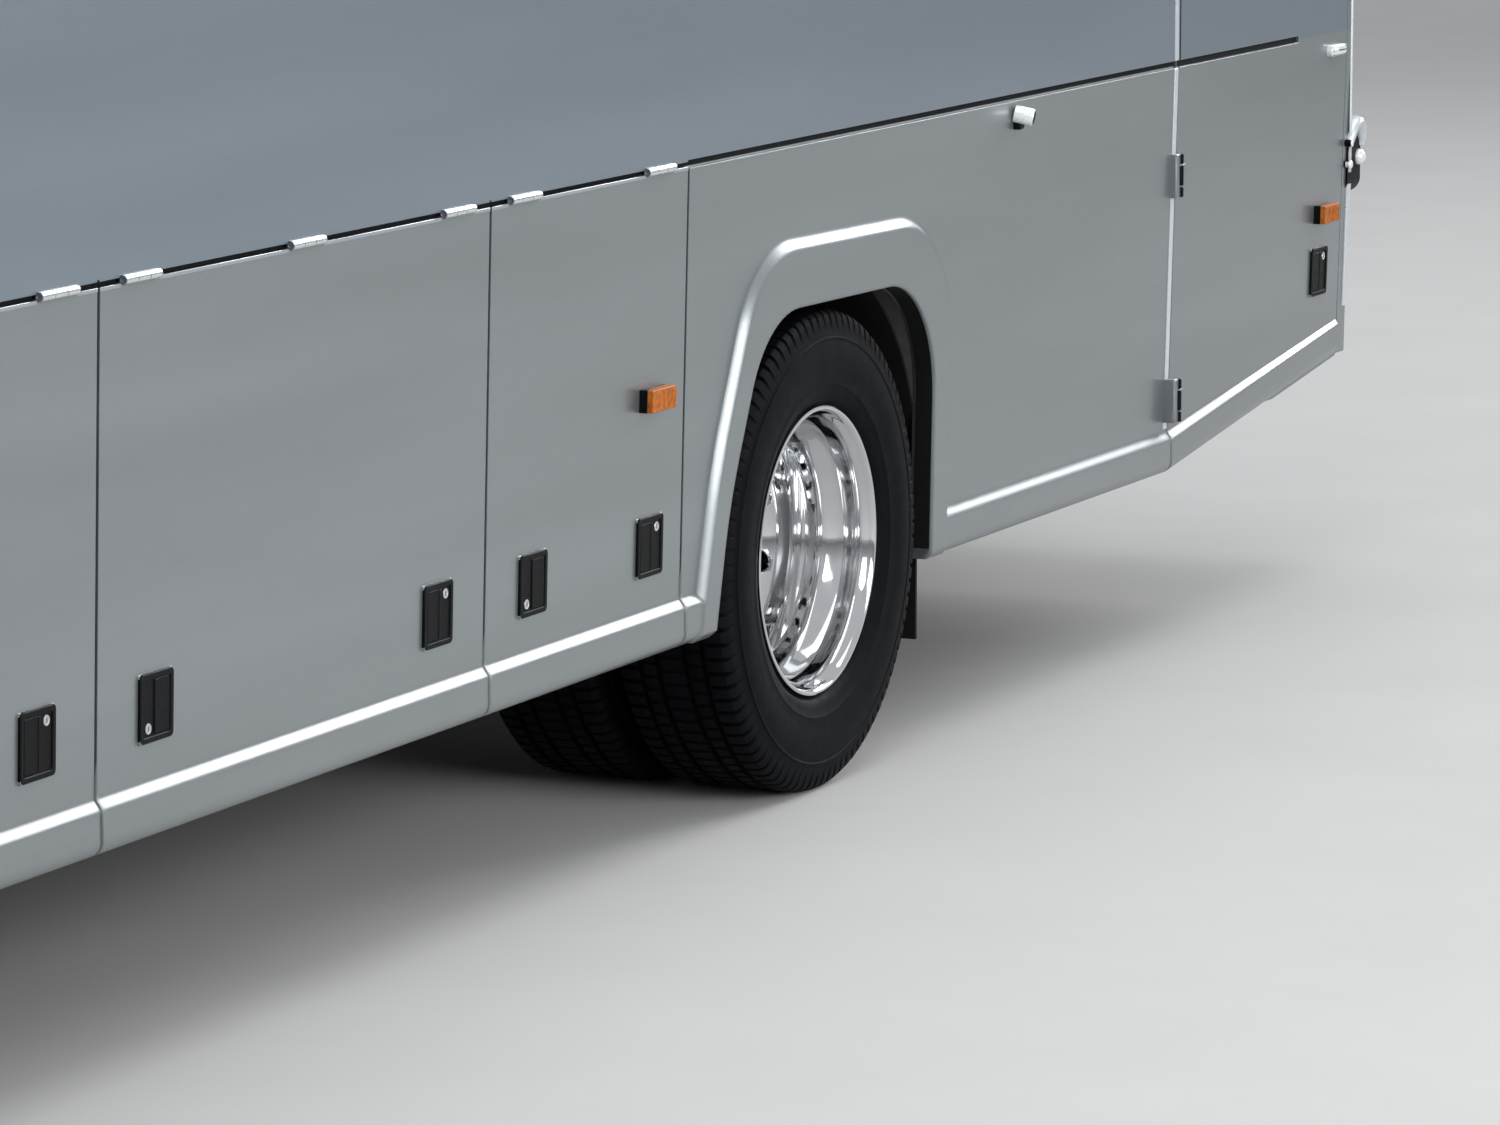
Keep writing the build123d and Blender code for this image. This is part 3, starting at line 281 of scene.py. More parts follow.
# Mesh helpers
def closed_mesh(name, points, faces, sharp=32):
    """A mesh with its faces outward, smooth but for its sharp edges."""
    mesh = bpy.data.meshes.new(name)
    mesh.from_pydata(points, [], faces)
    work = bmesh.new()
    work.from_mesh(mesh)
    bmesh.ops.remove_doubles(work, verts=work.verts, dist=1e-6)
    bmesh.ops.recalc_face_normals(work, faces=work.faces)
    limit = radians(sharp)
    for edge in work.edges:
        if len(edge.link_faces) != 2 or edge.calc_face_angle(0) > limit:
            edge.smooth = False
    for face in work.faces:
        face.smooth = True
    work.to_mesh(mesh)
    work.free()
    return mesh


def piece(name, points, faces, finish, body, sharp=32):
    """A mesh piece that rides on a body."""
    made = linked(name, closed_mesh(name, points, faces, sharp))
    made.data.materials.append(finish)
    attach(made, body)
    return made


def evaluated(made):
    """A new mesh of an object with its modifiers applied."""
    depsgraph = bpy.context.evaluated_depsgraph_get()
    return bpy.data.meshes.new_from_object(made.evaluated_get(depsgraph), depsgraph=depsgraph)


def circle(steps, turn=0):
    """Cosines and sines of directions spread evenly round a circle."""
    angles = [2 * pi * k / steps + turn for k in range(steps)]
    return [(cos(angle), sin(angle)) for angle in angles]


def outline(width, height, radius, steps=4, middle=(0, 0)):
    """A rectangle with rounded corners, as points round its middle."""
    points = []
    for cx, cy, start in ((1, 1, 0), (-1, 1, 90), (-1, -1, 180), (1, -1, 270)):
        for k in range(steps + 1):
            angle = radians(start + 90 * k / steps)
            points.append((
                cx * (width / 2 - radius) + radius * cos(angle) + middle[0],
                cy * (height / 2 - radius) + radius * sin(angle) + middle[1],
            ))
    return points


class Shape:
    """Collects points and faces in a panel's own coordinates: back along it, up, and out of it.
    Each method returns the shape, so that calls can be chained."""

    def __init__(self):
        self.points = []
        self.faces = []

    def loft(self, loops, closed=False):
        """Joins loops of equal length, and caps both ends unless the loops close on themselves."""
        start, count, rows = len(self.points), len(loops[0]), len(loops)
        for loop in loops:
            self.points.extend(loop)
        for row in range(rows if closed else rows - 1):
            here = start + row * count
            there = start + ((row + 1) % rows) * count
            for k in range(count):
                after = (k + 1) % count
                self.faces.append((here + k, here + after, there + after, there + k))
        if not closed:
            self.faces.append(tuple(reversed(range(start, start + count))))
            self.faces.append(tuple(range(start + (rows - 1) * count, start + rows * count)))
        return self

    def block(self, a, b, n, radius=0.002, edge=0.001):
        """A box between pairs of limits, with rounded corners and a softened face."""
        middle = ((a[0] + a[1]) / 2, (b[0] + b[1]) / 2)
        loops = []
        for inset, depth in ((0, n[0]), (0, n[1] - edge), (edge, n[1])):
            size = (a[1] - a[0] - 2 * inset, b[1] - b[0] - 2 * inset)
            ring = outline(*size, max(1e-4, radius - inset / 2), 3, middle)
            loops.append([(u, v, depth) for u, v in ring])
        return self.loft(loops)

    def disc(self, a, b, profile, steps=24):
        """A turned form standing out of the panel: pairs of radius and distance out."""
        return self.loft([
            [(a + radius * c, b + radius * s, depth) for c, s in circle(steps)] for radius, depth in profile
        ])


def beside(name, form, x, z, side, finish, body, sharp=32, face=None):
    """A shape on the coach's side, round a place x, z; face is its half width where it doesn't lean."""
    points = []
    for a, b, n in form.points:
        out = (side_at(z + b) if face is None else face) + n
        points.append((x - a, side * out, z + b))
    return piece(name, points, form.faces, finish, body, sharp)


AFT = ((0, 1, 0), (0, 0, 1), (-1, 0, 0))
FORE = ((0, 1, 0), (0, 0, 1), (1, 0, 0))
LEVEL = ((1, 0, 0), (0, 1, 0), (0, 0, 1))


def mounted(name, form, place, axes, finish, body, sharp=32):
    """A shape placed by its corner and by three directions: along, up and out."""
    corner, along, up, out = (Vector(one) for one in (place, *axes))
    points = [tuple(corner + along * a + up * b + out * n) for a, b, n in form.points]
    return piece(name, points, form.faces, finish, body, sharp)


def turned(name, profile, place, outward, finish, body, steps=144, closed=True):
    """A form turned about an axle at place: pairs of radius and distance inboard."""
    x, y, z = place
    form = Shape().loft([
        [(x + radius * c, y - outward * inboard, z + radius * s) for c, s in circle(steps)]
        for radius, inboard in profile
    ], closed)
    return piece(name, form.points, form.faces, finish, body)


# Tyres: half a profile as radius, distance out and rank of cut, and where the cuts fall in a pitch
PITCHES = 96
STATIONS = (0, 0.2, 0.26, 0.94)
TYRE_HALF = [
    (0.2845, 0.101, 0), (0.299, 0.1052, 0), (0.3045, 0.109, 0), (0.3085, 0.115, 0), (0.315, 0.1205, 0),
    (0.326, 0.1245, 0), (0.34, 0.1288, 0), (0.343, 0.1305, 0), (0.346, 0.13, 0), (0.37, 0.1352, 0),
    (0.395, 0.1378, 0), (0.418, 0.1372, 0), (0.434, 0.1345, 0), (0.4365, 0.136, 0), (0.4395, 0.1358, 0),
    (0.4415, 0.1328, 0), (0.455, 0.13, 0), (0.459, 0.1298, 1), (0.474, 0.1275, 2), (0.486, 0.123, 2),
    (0.4935, 0.115, 2), (0.4962, 0.104, 2), (0.497, 0.08, 2), (0.496, 0.0785, 1), (0.484, 0.076, 0),
    (0.484, 0.067, 0), (0.4965, 0.0645, 3), (0.497, 0.04, 3), (0.4965, 0.0385, 3), (0.484, 0.036, 0),
    (0.484, 0.026, 0), (0.4968, 0.0235, 4), (0.497, 0, 4),
]
CUT_DEPTH = (0, 0.004, 0.011, 0.005, 0.0045)
STAGGERED = 3


def tyre(name, places, body, replaced):
    """Tyres about given centres, with shoulder blocks, grooves and ribs, as one piece."""
    form = Shape()
    for x, y, z in places:
        loops = []
        for radius, out, rank in TYRE_HALF + [(r, -o, rank) for r, o, rank in reversed(TYRE_HALF[:-1])]:
            shift = 0.5 if rank == STAGGERED else 0
            loop = []
            for pitch in range(PITCHES):
                for k, station in enumerate(STATIONS):
                    r = radius - (CUT_DEPTH[rank] if k < 2 else 0)
                    angle = 2 * pi * (pitch + station + shift) / PITCHES
                    loop.append((x + r * cos(angle), y + out, z + r * sin(angle)))
            loops.append(loop)
        form.loft(loops, True)
    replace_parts(piece(name, form.points, form.faces, rubber, body, 28), replaced)


# Planes of the outer flanges and of the twin wheels' shared disc
REAR_FACE, FRONT_FACE = 1.215, 1.19
RIM_WIDTH, TWIN_SPACING = 0.236, 0.311
TWIN_PLANE = REAR_FACE - RIM_WIDTH / 2 - TWIN_SPACING / 2
for word, side in SIDES:
    planes = [side * (TWIN_PLANE + out * TWIN_SPACING / 2) for out in (1, -1)]
    tyre(f"twin_tyres_{word}", [(REAR_X, y, AXLE_Z) for y in planes], f"rear_wheel_{word}",
         f"rear_tyres_{word}")
    tyre(f"steer_tyre_{word}", [(FRONT_X, centre_of(f"front_tyre_{word}", "y"), AXLE_Z)],
         f"front_wheel_{word}", f"front_tyre_{word}")

# Wheels: radius and distance inboard of the outer flange
RIM_SHOWN = [
    (0.2985, 0.004), (0.298, 0.0012), (0.2955, 0), (0.2905, 0.0006), (0.287, 0.0035), (0.2845, 0.009),
    (0.281, 0.015), (0.276, 0.0205), (0.273, 0.027), (0.2722, 0.04), (0.272, 0.06), (0.2706, 0.066),
    (0.264, 0.078), (0.254, 0.093), (0.249, 0.1), (0.2475, 0.105), (0.2458, 0.12), (0.2455, 0.13),
]
RIM_HIDDEN = [(0.26, 0.128), (0.26, 0.105), (0.269, 0.092), (0.2838, 0.07), (0.2838, 0.017), (0.298, 0.012)]
REAR_DISH = [
    (0.245, 0.135), (0.2425, 0.141), (0.237, 0.156), (0.2352, 0.164), (0.2345, 0.172), (0.234, 0.194),
    (0.231, 0.203), (0.222, 0.215), (0.213, 0.228), (0.205, 0.24), (0.196, 0.25), (0.186, 0.257),
    (0.178, 0.262), (0.165, 0.264), (0.12, 0.2642), (0.114, 0.2642), (0.114, 0.2725), (0.185, 0.2725),
    (0.206, 0.256), (0.23, 0.225), (0.245, 0.2), (0.256, 0.15),
]
FRONT_DISH = [
    (0.245, 0.112), (0.243, 0.1), (0.237, 0.086), (0.226, 0.066), (0.214, 0.048), (0.202, 0.033),
    (0.193, 0.026), (0.183, 0.0225), (0.17, 0.022), (0.114, 0.022), (0.114, 0.037), (0.188, 0.037),
    (0.205, 0.048), (0.226, 0.08), (0.242, 0.112), (0.25, 0.14), (0.25, 0.184), (0.274, 0.224),
    (0.286, 0.236), (0.2985, 0.234), (0.2838, 0.22), (0.26, 0.184),
]
DRIVE_HUB = [
    (0.0001, 0.268), (0.15, 0.268), (0.15, 0.258), (0.146, 0.254), (0.13, 0.251), (0.116, 0.246),
    (0.108, 0.24), (0.106, 0.214), (0.103, 0.207), (0.096, 0.203), (0.084, 0.201), (0.08, 0.199),
    (0.076, 0.194), (0.06, 0.19), (0.0001, 0.19),
]
HUB_CAP = [
    (0.0001, 0.036), (0.15, 0.036), (0.15, 0.03), (0.146, 0.0215), (0.118, 0.0215), (0.113, 0.018),
    (0.112, 0.008), (0.108, 0.001), (0.1, -0.004), (0.088, -0.008), (0.084, -0.0085), (0.078, -0.016),
    (0.07, -0.0195), (0.0001, -0.0195),
]
HAND_HOLES, HOLE_TURN = 10, 0.31
NUTS, NUT_CIRCLE = 10, 0.1675
# Washer, nut, chamfer and stud end: sides, then two rings of radius and distance out
NUT_FORMS = (
    (16, ((0.021, 0), (0.021, 0.005))), (6, ((0.01815, 0.006), (0.01815, 0.029))),
    (6, ((0.01518, 0.032), (0.0105, 0.032))), (12, ((0.0105, 0.044), (0.008, 0.046))),
)


def cut_hand_holes(made, place, circle_radius, radius, reach, body):
    """Takes round holes on a circle about the axle out of a rim."""
    x, y, z = place
    form = Shape()
    for c, s in circle(HAND_HOLES, HOLE_TURN):
        hole_x, hole_z = x + circle_radius * c, z + circle_radius * s
        form.loft([
            [(hole_x + radius * u, y + depth, hole_z + radius * v) for u, v in circle(20)] for depth in reach
        ])
    cutter = piece("cutter", form.points, form.faces, chrome, body)
    change = made.modifiers.new("holes", "BOOLEAN")
    change.operation = "DIFFERENCE"
    change.solver = "EXACT"
    change.object = cutter
    changed = evaluated(made)
    made.modifiers.clear()
    made.data = changed
    bpy.data.objects.remove(cutter)


def nuts(name, place, outward, inboard, body):
    """Wheel nuts with stud ends, standing outward on a circle about the axle."""
    x, y, z = place
    form = Shape()
    for nut, (c, s) in enumerate(circle(NUTS)):
        nut_x, nut_z = x + NUT_CIRCLE * c, z + NUT_CIRCLE * s
        for steps, rings in NUT_FORMS:
            around = circle(steps, 2 * pi * nut / NUTS)
            form.loft([
                [(nut_x + radius * u, y - outward * (inboard - depth), nut_z + radius * v) for u, v in around]
                for radius, depth in rings
            ])
    piece(name, form.points, form.faces, chrome, body, 30)


for word, side in SIDES:
    body = f"rear_wheel_{word}"
    place = (REAR_X, side * REAR_FACE, AXLE_Z)
    inner_place = (REAR_X, side * (2 * TWIN_PLANE - REAR_FACE), AXLE_Z)
    profile = RIM_SHOWN + REAR_DISH + RIM_HIDDEN
    rim = turned(f"outer_rim_{word}", profile, place, side, chrome, body)
    cut_hand_holes(rim, place, 0.205, 0.0255, (-side * 0.16, -side * 0.2705), body)
    turned(f"inner_rim_{word}", profile, inner_place, -side, steel, body, 96)
    turned(f"drive_hub_{word}", DRIVE_HUB, place, side, steel, body, 72, closed=False)
    nuts(f"rear_nuts_{word}", place, side, 0.264, body)
    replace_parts(rim, body)

    body = f"front_wheel_{word}"
    place = (FRONT_X, side * FRONT_FACE, AXLE_Z)
    profile = RIM_SHOWN[:-2] + FRONT_DISH + RIM_HIDDEN
    rim = turned(f"steer_rim_{word}", profile, place, side, chrome, body)
    cut_hand_holes(rim, place, 0.214, 0.026, (-side * 0.02, -side * 0.085), body)
    turned(f"hub_cap_{word}", HUB_CAP, place, side, chrome, body, 72, closed=False)
    nuts(f"front_nuts_{word}", place, side, 0.0222, body)
    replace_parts(rim, body)

# Side fittings: a handle's bezel and pocket as width, height, corner radius and distance out
HANDLE_RINGS = (
    (0.113, 0.119, 0.009, -0.001), (0.113, 0.119, 0.009, 0.0048), (0.11, 0.116, 0.008, 0.0062),
    (0.0945, 0.1005, 0.006, 0.0062), (0.0912, 0.0972, 0.005, 0.005), (0.0908, 0.0968, 0.005, 0.0038),
)
LOCK_PROFILE = (
    (0.0095, 0.001), (0.0095, 0.0044), (0.0088, 0.0054), (0.0072, 0.0056), (0.0068, 0.005), (0.0012, 0.005),
)


def handle(name, x, z, side, body, turn=1):
    """A sunk black handle: bezel, pocket, raised lever half and lock; turn is -1 for a turned one."""
    shell = Shape().loft([[(a, b, depth) for a, b in outline(*ring)] for *ring, depth in HANDLE_RINGS])
    shell.block(sorted((-turn * 0.044, turn * 0.004)), (-0.047, 0.047), (0.003, 0.005), 0.004, 0.0012)
    shell.block(sorted((0, turn * 0.008)), (-0.0465, 0.0465), (0.003, 0.006), 0.002, 0.0012)
    beside(name, shell, x, z, side, plastic, body, 30)
    a, b = turn * 0.0275, turn * 0.035
    beside(f"{name}_lock", Shape().disc(a, b, LOCK_PROFILE), x, z, side, silver_cast, body)
    slit = Shape().block((a - 0.0009, a + 0.0009), (b - 0.004, b + 0.004), (0.004, 0.0055), 0.0005, 0.0003)
    beside(f"{name}_slit", slit, x, z, side, seal, body)


def marker(name, x, z, side, body):
    """An amber side marker on a black base, its black end to the front: partly housing and partly painted
    shade on the lens's lower front.
    """
    base = Shape().block((-0.0535, 0.0535), (-0.022, 0.022), (-0.002, 0.009), 0.004, 0.002)
    # This black end block is partly housing and partly painted shade over the front of the lens.
    base.block((-0.0554, -0.033), (-0.0224, 0.0224), (0, 0.0175), 0.002, 0.0012)
    beside(f"{name}_base", base, x, z, side, plastic, body)
    lens = Shape().block((-0.0545, 0.0535), (-0.0218, 0.0218), (0.006, 0.0288), 0.002, 0.0012)
    for k in range(7):
        a = -0.024 + k * 0.0115
        lens.block((a - 0.0016, a + 0.0016), (-0.0165, 0.0165), (0.028, 0.0296), 0.001, 0.0006)
    beside(f"{name}_lens", lens, x, z, side, amber, body)


def bar_along(form, begin, end, y, z, radius):
    """Adds a round bar along the coach, with softened ends."""
    soft = 0.0012
    rings = ((begin, radius * 0.8), (begin + soft, radius), (end - soft, radius), (end, radius * 0.8))
    form.loft([[(x, y + r * c, z + r * s) for c, s in circle(20)] for x, r in rings])


# Doors: front and rear edges ahead of the rear axle, and how many hinges each has
DOORS = ((4.393, 2.967, 3), (2.967, 1.542, 3), (1.542, 0.685, 2))
DOOR_GAP = 0.01
MARKER_Z, DOOR_MARKER_EDGE, REAR_MARKER_EDGE = 0.912, 0.145, 0.14
HANDLE_EDGE, ARCH_HANDLE_EDGE, SERVICE_HANDLE_EDGE = 0.19, 0.147, 0.154
HANDLE_Z, SERVICE_HANDLE_Z = 0.624, 0.77
HINGE_LENGTH, HINGE_EDGE, HINGE_Y, HINGE_RADIUS = 0.12, 0.07, 1.242, 0.0084
belt_lips = {}
for word, side in SIDES:
    for number, (front, rear, hinges) in enumerate(DOORS, 1):
        body = f"luggage_door_{word}_{number}"
        x_front, x_rear = REAR_X + front - DOOR_GAP / 2, REAR_X + rear + DOOR_GAP / 2
        edge = HANDLE_EDGE if hinges == 3 else ARCH_HANDLE_EDGE
        handle(f"handle_rear_{word}_{number}", x_rear + edge, HANDLE_Z, side, body)
        handle(f"handle_front_{word}_{number}", x_front - HANDLE_EDGE, HANDLE_Z, side, body, -1)
        if hinges == 2:
            marker(f"door_marker_{word}", x_rear + DOOR_MARKER_EDGE, MARKER_Z, side, body)
        form = Shape()
        step = (x_front - x_rear - 2 * HINGE_EDGE - HINGE_LENGTH) / (hinges - 1)
        third = HINGE_LENGTH / 3
        lips = [x_rear - 0.001]
        for k in range(hinges):
            x = x_rear + HINGE_EDGE + HINGE_LENGTH / 2 + k * step
            lips += [x - HINGE_LENGTH / 2 - 0.003, x + HINGE_LENGTH / 2 + 0.003]
            for part in range(3):
                begin = x - HINGE_LENGTH / 2 + part * third
                bar_along(form, begin + 0.0006, begin + third - 0.0006, side * HINGE_Y, BELT, HINGE_RADIUS)
        piece(f"belt_hinges_{word}_{number}", form.points, form.faces, hinge_metal, body)
        lips.append(x_front + 0.001)
        belt_lips[word, number] = list(zip(lips[::2], lips[1::2]))
    body = f"service_door_{word}"
    x_rear = CORNER_X + DOOR_GAP / 2
    handle(f"handle_service_{word}", x_rear + SERVICE_HANDLE_EDGE, SERVICE_HANDLE_Z, side, body)
    marker(f"rear_marker_{word}", x_rear + REAR_MARKER_EDGE, MARKER_Z, side, body)


# Strips, seals and trim laid on the skin
def strip(name, x, z, out, side, finish, body, radius=0.0015, edge=0.0006, face=None):
    """A flat bar on the coach's side between pairs of x, z and distance out."""
    bar = Shape().block((-max(x), -min(x)), z, out, radius, edge)
    beside(name, bar, 0, 0, side, finish, body, face=face)


def skin(*names):
    """The faces of some nodes, ready to be met by rays."""
    points, faces = [], []
    for name in names:
        mesh = nodes[name].data
        start = len(points)
        points.extend(v.co.copy() for v in mesh.vertices)
        faces.extend(tuple(start + k for k in face.vertices) for face in mesh.polygons)
    return BVHTree.FromPolygons(points, faces)


def laid(name, tree, starts, toward, section, finish, body, ring=False):
    """A moulding laid on the skin where rays from its route meet it; its section is across and up."""
    toward = Vector(toward)
    met = []
    for start in starts:
        place, normal, _, _ = tree.ray_cast(Vector(start), toward)
        if place is not None:
            met.append((place, -normal if normal.dot(toward) > 0 else normal))
    count = len(met)
    loops = []
    for k, (place, normal) in enumerate(met):
        ahead = met[(k + 1) % count][0] if ring or k + 1 < count else place
        behind = met[k - 1][0] if ring or k > 0 else place
        across = normal.cross((ahead - behind).normalized()).normalized()
        loops.append([tuple(place + across * a + normal * up) for a, up in section])
    form = Shape().loft(loops, ring)
    piece(name, form.points, form.faces, finish, body, 40)


def moulding(width, up, sunk=0.002, edge=0.0015):
    """A flat section with softened edges: distances across and up."""
    half = width / 2
    return [
        (-half, -sunk), (-half, up - edge), (-half + edge, up), (half - edge, up), (half, up - edge),
        (half, -sunk),
    ]


def rounded_route(a, b, radius, spacing=0.12):
    """Points along a rectangle with rounded corners, close enough for a curved skin."""
    ring = outline(a[1] - a[0], b[1] - b[0], radius, 8, ((a[0] + a[1]) / 2, (b[0] + b[1]) / 2))
    dense = []
    for first, second in zip(ring, ring[1:] + ring[:1]):
        parts = max(1, int(dist(first, second) / spacing))
        dense.extend(
            (first[0] + (second[0] - first[0]) * j / parts, first[1] + (second[1] - first[1]) * j / parts)
            for j in range(parts)
        )
    return dense


SERVICE_TOP, CATCH_Z = 1.792, 1.308
STRIP_X, LIP_X = (SEAM_X + 0.0055, SEAM_X + 0.0275), (SEAM_X - 0.0055, SEAM_X - 0.01)
HINGES_MM, PLATE_HALF, KNUCKLE_HALF = (573, 1095), 0.0508, 0.0268
for word, side in SIDES:
    door = f"service_door_{word}"
    strip(f"belt_seal_{word}", (SEAM_X + 0.005, MASK_REAR[side] - 0.005), (BELT - 0.005, BELT + 0.0055),
          (-0.0138, -0.0105), side, seal, "body", face=HALF)
    strip(f"service_groove_{word}", (GROOVE_X, SEAM_X - 0.006), (BELT - 0.007, BELT + 0.007),
          (-0.009, -0.0065), side, seal, door, face=HALF)
    for number in range(1, len(DOORS) + 1):
        # Along each door's top edge a thin strip coloured as a painted highlight, and above it the wall's
        # lip.
        for label, z, out, finish, rides in (
            ("door_bead", (1.3405, 1.3472), (-0.0012, 0.0008), edge_highlight, f"luggage_door_{word}_{number}"),
            ("wall_lip", (1.3562, 1.362), (-0.004, -0.0004), reflected_wall_paint, "body"),
        ):
            edge = Shape()
            for begin, end in belt_lips[word, number]:
                edge.block((-end, -begin), z, out, 0.0009, 0.0006)
            beside(f"{label}_{word}_{number}", edge, 0, 0, side, finish, rides, face=HALF)
    strip(f"service_edge_{word}", STRIP_X, (0.506, 1.3425), (-0.0005, 0.0022), side, pale_trim, "body")
    strip(f"service_edge_upper_{word}", STRIP_X, (1.361, SERVICE_TOP), (-0.0005, 0.0022), side, pale_trim,
          "body", face=HALF)
    strip(f"service_lip_{word}", LIP_X, (1.361, SERVICE_TOP - 0.007), (-0.0005, 0.0012), side, seal, door,
          0.001, 0.0004, HALF)
    # The pale strip down each rear corner is partly a trim moulding and partly a painted highlight on the
    # corner.
    corner = [(CORNER_X - 0.044, side * 2, 0.665 + k * 0.0792) for k in range(31)]
    laid(f"corner_trim_and_highlight_{word}", skin("rear_panel", "rear_bumper"), corner, (0, -side, 0),
         moulding(0.028, 0.004), pale_trim, "body")
    latch = Shape().block((-0.0535, 0.0535), (-0.0135, 0.0135), (0, 0.0155), 0.013, 0.004)
    latch.block((-0.04, -0.01), (-0.006, 0.006), (0.015, 0.0175), 0.005, 0.0015)
    beside(f"catch_{word}", latch, CORNER_X + 0.095, CATCH_Z, side, bright, door)
    for height in HINGES_MM:
        z = height / 1000
        plate = Shape().block((-0.0308, -0.01), (-PLATE_HALF, PLATE_HALF), (-0.03, 0.0093), 0.004, 0.003)
        for b in ((KNUCKLE_HALF, PLATE_HALF), (-PLATE_HALF, -KNUCKLE_HALF)):
            plate.block((-0.015, -0.0045), b, (-0.03, 0.0093), 0.002, 0.001)
        beside(f"hinge_plate_{word}_{height}", plate, SEAM_X, z, side, paint, "body", face=HALF)
        for label, begin, end, rides in (
            (50, -0.05, -0.027, "body"), (27, 0.027, 0.05, "body"), (77, -0.0235, 0.0235, door),
        ):
            rings = ((0.0085, begin), (0.0098, begin + 0.001), (0.0098, end - 0.001), (0.0085, end))
            mounted(f"service_hinge_{word}_{height}_{label}", Shape().disc(0, 0, rings, 20),
                    (SEAM_X, side * (HALF + 0.004), z), ((1, 0, 0), (0, side, 0), (0, 0, 1)), plastic, rides)

# A black sheet inside the wheel openings, painted shade over the return flange, laid where rays from the axle
# meet their edge
SHADE_SHEET_OUT, SHADE_SHEET_REACH, SHADE_SHEET_STEPS = (-0.028, 0.009), 0.75, 144
for word, side in SIDES:
    opening = skin(f"arch_panels_{word}")
    for label, axle in (("rear", REAR_X), ("front", FRONT_X)):
        loops = []
        for k in range(SHADE_SHEET_STEPS + 1):
            turn = radians(-7.5 + 195 * k / SHADE_SHEET_STEPS)
            outward = Vector((cos(turn), side * LEAN * sin(turn), sin(turn)))
            inner, outer = (opening.ray_cast(
                Vector((axle, side * (side_at(AXLE_Z) + out), AXLE_Z)), outward, SHADE_SHEET_REACH
            )[0] for out in SHADE_SHEET_OUT)
            if inner is not None and outer is not None:
                loops.append([tuple(place - outward * depth) for place, depth in (
                    (inner, -0.001), (outer, -0.001), (outer, 0.001), (inner, 0.002),
                )])
        shade_sheet = Shape().loft(loops)
        # The sheet is painted shade, given black rubber's finish.
        piece(f"arch_painted_shade_{label}_{word}", shade_sheet.points, shade_sheet.faces, seal, "body", 40)


# Windows: rubber round each pane
def pane_ring(name, tree, a, b, radius, toward, width=0.02):
    """A rubber ring round a pane in the side or the end that rays toward it meet."""
    x, y, _ = toward
    route = [(-8 * x, u, v) if x else (u, -2 * y, v) for u, v in rounded_route(a, b, radius)]
    laid(name, tree, route, toward, moulding(width, 0.0025), seal, "body", True)


WINDOWS, WINDOW_PITCH, WINDOW_LENGTH = 6, 1.67667, 1.57667
FIRST_WINDOW, WINDOW_TOP = TAIL_X + 0.496, 2.964
for word, side in SIDES:
    on_wall = skin(f"side_wall_{word}", "glazing")
    for k in range(WINDOWS):
        rear = FIRST_WINDOW + k * WINDOW_PITCH
        pane_ring(f"window_rubber_{word}_{k + 1}", on_wall, (rear - 0.004, rear + WINDOW_LENGTH + 0.004),
                  (1.926, WINDOW_TOP), 0.03, (0, -side, 0))
pane_ring("driver_window_rubber", skin("side_wall_left", "glazing"), (4.562, 5.35), (1.696, WINDOW_TOP), 0.03,
          (0, -1, 0))
pane_ring("entry_glass_rubber", skin("entry_door", "glazing"), (4.581, 5.326), (1.096, 2.884), 0.03,
          (0, 1, 0))
front_skin = skin("front_mask", "glazing")
pane_ring("windscreen_rubber", front_skin, (-1.084, 1.084), (1.326, WINDOW_TOP), 0.06, (-1, 0, 0), 0.03)
pane_ring("rear_window_rubber", skin("rear_panel", "glazing"), (-0.904, 0.904), (2.076, 2.904), 0.05,
          (1, 0, 0), 0.026)
laid("windscreen_divider", front_skin, [(8, 0, 1.345 + 0.04 * k) for k in range(41)], (-1, 0, 0),
     moulding(0.022, 0.003), seal, "body")

# Mouldings along the roof's edge
CANT_Z = 3.052
for word, side in SIDES:
    cant = [(-5.9 + 0.25 * k, side * 2, CANT_Z) for k in range(46)]
    laid(f"cant_moulding_{word}", skin("roof", f"side_wall_{word}", "front_mask"), cant, (0, -side, 0),
         moulding(0.016, 0.003), grey_plastic, "body")

# Rear lamp pods beside the tail: pale hood as angle, reach and width, ball, shadow plate and bosses
POD = (-6.108, 1.022)
POD_FACE = HALF + 0.014
HOOD = ((8, 0.05, 0.011), (30, 0.06, 0.019), (60, 0.067, 0.023), (90, 0.07, 0.024), (120, 0.066, 0.022),
        (150, 0.056, 0.016), (172, 0.044, 0.008))
BALL = 0.02
for word, side in SIDES:
    loops = []
    for angle, reach, wide in HOOD:
        cosine, sine = cos(radians(angle)), sin(radians(angle))
        loops.append([
            ((0.044 + 0.012 * c) * cosine, 0.03 + (reach + 0.012 * c) * sine, -0.02 + wide * s)
            for c, s in circle(12)
        ])
    beside(f"lamp_hood_{word}", Shape().loft(loops), *POD, side, pale_trim, "body", 50, POD_FACE)
    ball = Shape().disc(0.022, 0.008, [
        (max(1e-4, BALL * s), -0.018 - BALL * c) for c, s in circle(30)[:16]
    ])
    beside(f"lamp_ball_{word}", ball, *POD, side, bright, "body", 60, POD_FACE)
    plate = Shape().loft([
        [(0.02, 0.05, n), (0.046, 0.03, n), (0.044, -0.03, n), (0.02, -0.075, n), (0.008, -0.03, n)]
        for n in (-0.06, -0.018)
    ])
    beside(f"lamp_shadow_{word}", plate, *POD, side, plastic, "body", face=HALF)
    bosses = Shape()
    for a, b, wide in ((-0.06, 0.048, 0.01), (-0.064, -0.004, 0.0105)):
        bosses.disc(a, b, [
            (wide * 0.75, -0.004), (wide * 0.75, 0.003), (wide, 0.0045), (wide, 0.0075), (wide * 0.8, 0.0105),
            (wide * 0.35, 0.0122),
        ], 20)
    beside(f"lamp_bosses_{word}", bosses, *POD, side, bright, "body", 50, HALF)
